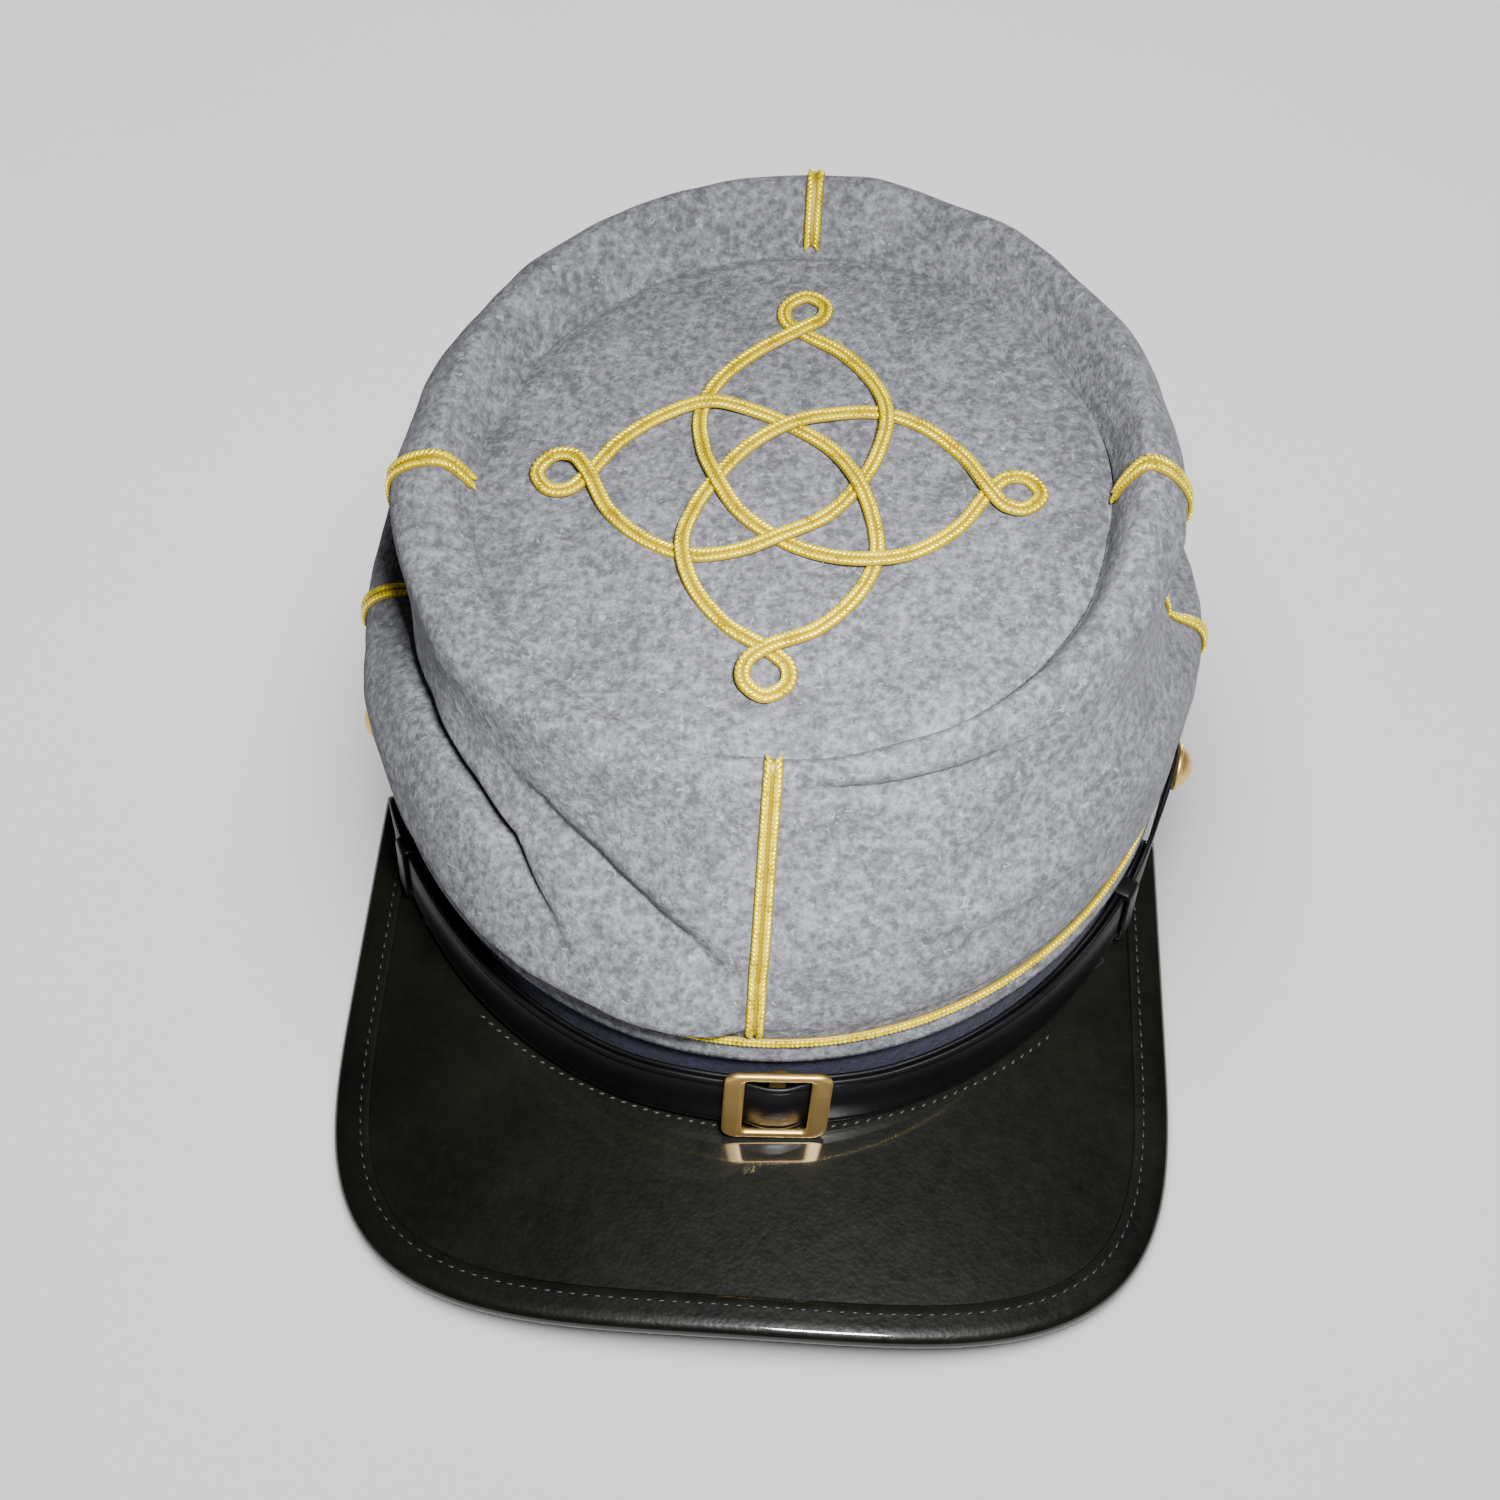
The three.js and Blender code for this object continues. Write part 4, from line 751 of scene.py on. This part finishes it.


# Black box-calf, waxed and polished: near black, its colour tinted green-brown and lighter in random patches,
# a painted sheen for the cast where the light grazes it; a fine pebbled grain of about 0.8 mm, faint scuffs,
# and a glaze that mirrors the buckle, the smoother the more it was polished.
def leather_material(name, deep, wear_and_sheen, grain, gloss, polish):
    made, tree, place = new_material(name)
    patch = add_node(tree, "ShaderNodeTexNoise", {"Vector": place, "Scale": 1 / 0.022, "Detail": 4.0,
                     "Roughness": 0.6})
    pebble = add_node(tree, "ShaderNodeTexVoronoi", {"Vector": place, "Scale": 1 / grain},
                      feature="SMOOTH_F1")
    scuff = add_node(tree, "ShaderNodeTexNoise", {"Vector": place, "Scale": 1 / 0.003, "Detail": 5.0,
                     "Roughness": 0.75})
    soft = add_node(tree, "ShaderNodeMapRange", {"Value": patch.outputs["Fac"], "From Min": 0.35,
                    "From Max": 0.7})
    # the second tone in random patches: painted sheen and wear
    colour = add_node(tree, "ShaderNodeMix", {"Factor": soft.outputs[0], "A": linear(deep),
                      "B": linear(wear_and_sheen)}, data_type="RGBA")
    rough = add_node(tree, "ShaderNodeMapRange", {"Value": scuff.outputs["Fac"], "From Min": 0.3,
                     "From Max": 0.7, "To Min": gloss, "To Max": gloss + 0.14})
    relief = add_node(tree, "ShaderNodeBump", {"Strength": 0.18, "Distance": 0.0002,
                      "Height": pebble.outputs["Distance"]})
    relief = add_node(tree, "ShaderNodeBump", {"Strength": 0.12, "Distance": 0.0006,
                      "Height": scuff.outputs["Fac"], "Normal": relief.outputs[0]})
    surface = add_node(tree, "ShaderNodeBsdfPrincipled", {
        "Base Color": colour.outputs["Result"], "Roughness": rough.outputs[0], "Specular IOR Level": 0.15,
        "Coat Weight": polish, "Coat Roughness": 0.4 - 0.41 * polish, "Coat IOR": 1.5,
        "Normal": relief.outputs[0]})
    add_node(tree, "ShaderNodeOutputMaterial", {"Surface": surface.outputs[0]})
    return made


# Visor: near black, with a green-brown second tone in patches as painted sheen
visor_leather = leather_material("black polished calf", "#080906", "#10120b", 0.0009, 0.3, 0.85)
visor = new_object("visor_plate", tube("visor_plate", visor_sections, False), visor_leather)
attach(visor, "root")
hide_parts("visor")

binding_sections = []
for step in range(VISOR_STEPS + 1):
    at, into = visor_line[step], visor_inward[step]
    wide = BINDING_TOP_WIDTH
    if at[1] >= -BAND_HALF_LENGTH:
        band_half = BAND_HALF_WIDTH * math.sqrt(1 - (at[1] / BAND_HALF_LENGTH) ** 2)
        wide = min(wide, abs(at[0]) - band_half - 1)
    wall, under, low = BINDING_THICKNESS, BINDING_UNDER_WIDTH, -VISOR_THICKNESS
    outline = [(wide, 0.05), (wide - 0.1, 0.45), (wide - 0.6, 0.72), (wide - 2.2, 0.66), (3.5, 0.78),
               (1.8, 0.72), (0.9, 0.45), (0.3, -0.05), (0.0, -0.9), (0.0, low + 0.9), (0.3, low + 0.05),
               (0.9, low - 0.55), (1.8, low - 0.85), (under - 0.5, low - 0.85), (under, low - 0.5),
               (under, low - 0.05), (wall, low - 0.05), (wall, 0.05)]
    binding_sections.append([on_visor(at + into * inset, up) for inset, up in outline])
binding = new_object("visor_edge_binding", tube("visor_edge_binding", binding_sections, False), visor_leather)
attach(binding, "root")
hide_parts("visor_binding")

# Linen thread, its strands drawn 0.4 mm apart so that they show: black and waxed along the binding, bare
# and greyish where the visor is sewn to the band
black_thread, grey_thread = (
    two_tone_material(name, 1 / 0.0004, 2.0, one, other, {"Roughness": 0.5})
    for name, one, other in (("black waxed thread", "#0b0b0a", "#181817"),
                             ("bare linen thread", "#1b1b19", "#393935")))

sewn = [on_visor(visor_line[step] + visor_inward[step] * (BINDING_TOP_WIDTH - STITCH_INSET), 0.62)
        for step in range(6, VISOR_STEPS - 5)]
seat_line = [on_visor(on_oval(azimuth, SEAT_STITCH_OUT + SEAT_STITCH_SPREAD * azimuth ** 2, 0)[:2])
             for azimuth in np.arange(-40, 43.1, 1.0)]
for name, line, up, thread, sizes in (
        ("visor_edge_stitches", sewn, (0, -math.sin(VISOR_SLOPE), math.cos(VISOR_SLOPE)), black_thread,
         {"Pitch": 2.6, "Slant": 0.12, "Length": 2.0, "Width": 0.65, "Height": 0.5, "Lift": 0.05}),
        ("visor_seam_stitches", seat_line, (0, -0.1, 1.0), grey_thread,
         {"Pitch": 2.5, "Slant": 0.35, "Length": 1.5, "Width": 0.6, "Height": 0.5, "Lift": 0.1})):
    threads = thread_row(line, np.tile(up, (len(line), 1)), False, thread, Offset=0.0, **sizes)
    stitches = joined(name, [(threads, 0)], thread)
    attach(stitches, "root")


# Chin strap.
# Two straps of black leather, 15.5 mm wide, that lie one on the other round the front of the band. Each
# ends in a button at its side, and a leather keeper at the tip of each holds the other.
STRAP_WIDTH, STRAP_THICKNESS, STRAP_CREASE, LAYER = 15.5, 1.1, 1.6, 1.35
DEGREE = 1.6                                        # mm along the strap
STRAP_LINE = (                                      # azimuth, middle's height, distance from band, lean
    (0, 12.2, 0.4, 4), (6, 12.0, 0.4, 4), (20, 10.6, 0.4, 4), (45, 11.6, 0.8, 4),
    (60, 15.4, 1.8, 2), (70, 19.8, 2.0, 0), (80, 24.4, 2.7, 0), (88, 25.0, 2.7, 0))
STRAP_TIP, STRAP_TIP_ROWS = 8.0, np.array([2.0, 3.6, 5.2, 6.4, 7.4, 7.8])
BUTTON_AZIMUTH, TIP_AZIMUTH, KEEPER_AZIMUTH, BUCKLE_AZIMUTH = 80.0, 64.0, 60.0, 3.2
BUCKLE_BEND_START, BUCKLE_BEND = 0.6, 4.4           # degrees from the buckle's middle


def strap_row(column, azimuth):
    side = abs(azimuth)
    i = max(k for k in range(len(STRAP_LINE) - 1) if STRAP_LINE[k][0] <= side or k == 0)
    a, b = STRAP_LINE[i], STRAP_LINE[i + 1]
    return a[column] + (b[column] - a[column]) * smoothstep((side - a[0]) / (b[0] - a[0]))


def strap_frame(azimuth):
    """Middle of the strap's back face, with its directions along, across and outward"""
    def middle(at):
        return on_oval(at, strap_row(2, at), strap_row(1, at))
    normal = on_oval(azimuth, 1, 0) - on_oval(azimuth, 0, 0)
    lean = math.radians(strap_row(3, azimuth))
    along = unit(middle(azimuth + 0.5) - middle(azimuth - 0.5))
    across = unit(np.cross(normal * math.cos(lean) + np.array([0, 0, math.sin(lean)]), along))
    point = middle(azimuth) + normal * STRAP_WIDTH / 2 * math.sin(lean)
    return point, along, across, np.cross(along, across)


def outer_lift(azimuth):
    """The outer strap lies on the inner one and rises over the buckle's middle bar"""
    away = abs(azimuth - BUCKLE_AZIMUTH)
    return LAYER + LAYER * (1 - float(smoothstep((away - BUCKLE_BEND_START) / BUCKLE_BEND)))


def strap_rings(low, high, lift):
    """Strip with rounded edges, a creased line inside each edge and round tips"""
    stations = np.concatenate([low - STRAP_TIP_ROWS[::-1] / DEGREE, np.arange(low, high + 0.01, 0.5),
                               high + STRAP_TIP_ROWS / DEGREE])
    t, crease = STRAP_THICKNESS, STRAP_CREASE
    edge = [(0, t - 0.4), (0.3, t - 0.1), (0.7, t), (crease - 0.25, t), (crease, t - 0.2), (crease + 0.25, t)]
    outline = ([(-1, 0, 0.25)] + [(-1, *spot) for spot in edge] + [(0, 0, t + 0.05)]
               + [(1, *spot) for spot in edge[::-1]] + [(1, 0, 0.25), (1, 0.3, 0.0), (-1, 0.3, 0.0)])
    rings = []
    for azimuth in stations:
        point, along, across, out = strap_frame(azimuth)
        beyond = max(low - azimuth, azimuth - high, 0) * DEGREE
        half = STRAP_WIDTH / 2 * math.sqrt(max(0.03, 1 - (beyond / STRAP_TIP) ** 2))
        rings.append([point + across * side * max(half - inset * half / (STRAP_WIDTH / 2), 0.02)
                      + out * (up + lift(azimuth)) for side, inset, up in outline])
    return rings


# Strap: near black, with a bluish second tone in patches as painted sheen
strap_leather = leather_material("black strap leather", "#050506", "#0b0b0e", 0.0008, 0.38, 0.12)
for name, node, low, high, lift in (
        ("strap_outer", "chin_strap_outer", -TIP_AZIMUTH, BUTTON_AZIMUTH, outer_lift),
        ("strap_inner", "chin_strap_inner", -BUTTON_AZIMUTH, TIP_AZIMUTH, lambda _: 0.0)):
    strap = new_object(name, tube(name, strap_rings(low, high, lift), False), strap_leather)
    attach(strap, "root")
    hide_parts(node)

# keepers: loops 5 mm wide, bent round both straps with rounded corners
KEEPER_WIDTH, KEEPER_THICKNESS = 5.0, 0.9
for name, node, azimuth in (("keeper_loop_left", "keeper_left", -KEEPER_AZIMUTH),
                            ("keeper_loop_right", "keeper_right", KEEPER_AZIMUTH)):
    point, along, across, out = strap_frame(azimuth)
    half, low, high = STRAP_WIDTH / 2 + 0.3, -0.3, 2 * LAYER + 0.15
    thick, edge = KEEPER_THICKNESS, KEEPER_WIDTH / 2
    bends = [(side * (half - 0.4), level, start + turn)
             for side, level, start in ((1, high - 0.4, 0), (-1, high - 0.4, 90),
                                        (-1, low + 0.4, 180), (1, low + 0.4, 270))
             for turn in np.linspace(0, 90, 6)]
    loop = []
    for a, b, turn in bends:
        ca, sa = math.cos(math.radians(turn)), math.sin(math.radians(turn))
        loop.append([point + along * reach + across * (a + ca * grow) + out * (b + sa * grow)
                     for reach, grow in ((-edge, 0.4), (-edge, thick + 0.2), (0.3 - edge, thick + 0.4),
                                         (edge - 0.3, thick + 0.4), (edge, thick + 0.2), (edge, 0.4))])
    keeper = new_object(name, tube(name, loop, True), strap_leather)
    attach(keeper, "root")
    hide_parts(node)


# Buckle.
# A cast and polished brass slide: a rounded frame, 22 by 24 mm, with a lower bar across its middle that
# lifts the strap. The strap passes under both sides of the frame.
BUCKLE_WIDTH, BUCKLE_HEIGHT, BUCKLE_SIDE_BAR, BUCKLE_TOP_BAR, BUCKLE_RAISED = 22.2, 23.6, 4.2, 1.8, 2.0
BUCKLE_THICKNESS, BUCKLE_CORNER, BUCKLE_INNER_CORNER = 1.5, 3.0, 1.2
BUCKLE_LOW = 2 * LAYER + 0.2
MIDDLE_BAR = ((-10.9, 1.6), (-10.7, 0.5), (-10.0, 0.0),    # along the bar, mm raised to meet the frame
              (10.0, 0.0), (10.7, 0.5), (10.9, 1.6))
MIDDLE_BAR_WIDTH, MIDDLE_BAR_THICKNESS = 3.4, 0.9
point, along, across, out = strap_frame(BUCKLE_AZIMUTH)
point = point + BUCKLE_RAISED * across


def rounded_corner_points(half_width, half_height, corner):
    points = []
    for x, y, start in ((1, 1, 0), (-1, 1, 90), (-1, -1, 180), (1, -1, 270)):
        for turn in np.linspace(0, 90, 12):
            a = math.radians(start + turn)
            points.append((x * (half_width - corner) + corner * math.cos(a),
                           y * (half_height - corner) + corner * math.sin(a)))
    return points


outer_line = rounded_corner_points(BUCKLE_WIDTH / 2, BUCKLE_HEIGHT / 2, BUCKLE_CORNER)
inner_line = rounded_corner_points(BUCKLE_WIDTH / 2 - BUCKLE_SIDE_BAR, BUCKLE_HEIGHT / 2 - BUCKLE_TOP_BAR,
                                   BUCKLE_INNER_CORNER)
bar_outline = [(0.0, 0.35), (0.0, 0.65), (0.04, 0.85), (0.12, 0.97), (0.3, 1.0), (0.7, 1.0), (0.86, 0.95),
               (0.95, 0.82), (1.0, 0.62), (1.0, 0.3), (0.94, 0.08), (0.8, 0.0), (0.2, 0.0), (0.06, 0.1)]
frame_rings = [[point + along * (ox + (ix - ox) * t) + across * (oy + (iy - oy) * t)
                + out * (BUCKLE_LOW + h * BUCKLE_THICKNESS) for t, h in bar_outline]
               for (ox, oy), (ix, iy) in zip(outer_line, inner_line)]
bar_rings = [[point + along * MIDDLE_BAR_WIDTH / 2 * math.cos(a) + across * y
              + out * (LAYER + 0.5 + MIDDLE_BAR_THICKNESS / 2 * math.sin(a) + raised)
              for a in np.linspace(0, 2 * math.pi, 16, False)] for y, raised in MIDDLE_BAR]

# Polished yellow brass, dulled by wear: warm and satin, with fine hair scratches and patches of tarnish
brass, tree, place = new_material("polished brass")
tarnish = add_node(tree, "ShaderNodeTexNoise", {"Vector": place, "Scale": 1 / 0.003, "Detail": 4.0})
stretch = add_node(tree, "ShaderNodeMapping", {"Vector": place, "Scale": (1.0, 1.0, 12.0)})
hair = add_node(tree, "ShaderNodeTexNoise", {"Vector": stretch.outputs[0], "Scale": 1 / 0.002, "Detail": 3.0})
colour = add_node(tree, "ShaderNodeMix", {"Factor": tarnish.outputs["Fac"], "A": linear("#e0b25c"),
                  "B": linear("#f5d58c")}, data_type="RGBA")
rough = add_node(tree, "ShaderNodeMapRange", {"Value": hair.outputs["Fac"], "From Min": 0.3, "From Max": 0.7,
                 "To Min": 0.4, "To Max": 0.5})
fine = add_node(tree, "ShaderNodeBump", {"Strength": 0.008, "Distance": 0.0002,
                "Height": hair.outputs["Fac"]})
surface = add_node(tree, "ShaderNodeBsdfPrincipled", {"Base Color": colour.outputs["Result"], "Metallic": 1.0,
                   "Roughness": rough.outputs[0], "Normal": fine.outputs[0]})
add_node(tree, "ShaderNodeOutputMaterial", {"Surface": surface.outputs[0]})

buckle = joined("slide_buckle", [(tube("frame", frame_rings, True), 0), (tube("bar", bar_rings, False), 0)],
                brass)
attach(buckle, "root")
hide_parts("buckle")


# Side buttons.
# Small domed buttons stamped from brass sheet with a rolled rim, plain, one over each end of the strap.
BUTTON_RADIUS, BUTTON_HEIGHT = 5.6, 4.0
BUTTON_OUTLINE = (                                  # share of the radius, mm above the strap
    (0.55, 0.0), (0.86, 0.0), (0.96, 0.15), (1.0, 0.45), (1.0, 0.8), (0.96, 1.05), (0.9, 1.1),
    (0.86, 1.12), (0.84, 1.3), (0.78, 1.85), (0.66, 2.55), (0.5, 3.2), (0.32, 3.65), (0.14, 3.92))
for name, node, azimuth, lift in (("side_button_right", "button_right", BUTTON_AZIMUTH, LAYER + LAYER),
                                  ("side_button_left", "button_left", -BUTTON_AZIMUTH, LAYER)):
    point, along, across, out = strap_frame(azimuth)
    rings = [[point + out * (lift + z) + BUTTON_RADIUS * r * (along * math.cos(a) + across * math.sin(a))
              for a in np.linspace(0, 2 * math.pi, 40, False)] for r, z in BUTTON_OUTLINE]
    button = new_object(name, domed(name, rings, point + out * lift, point + out * (lift + BUTTON_HEIGHT)),
                        brass)
    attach(button, "root")
    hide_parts(node)
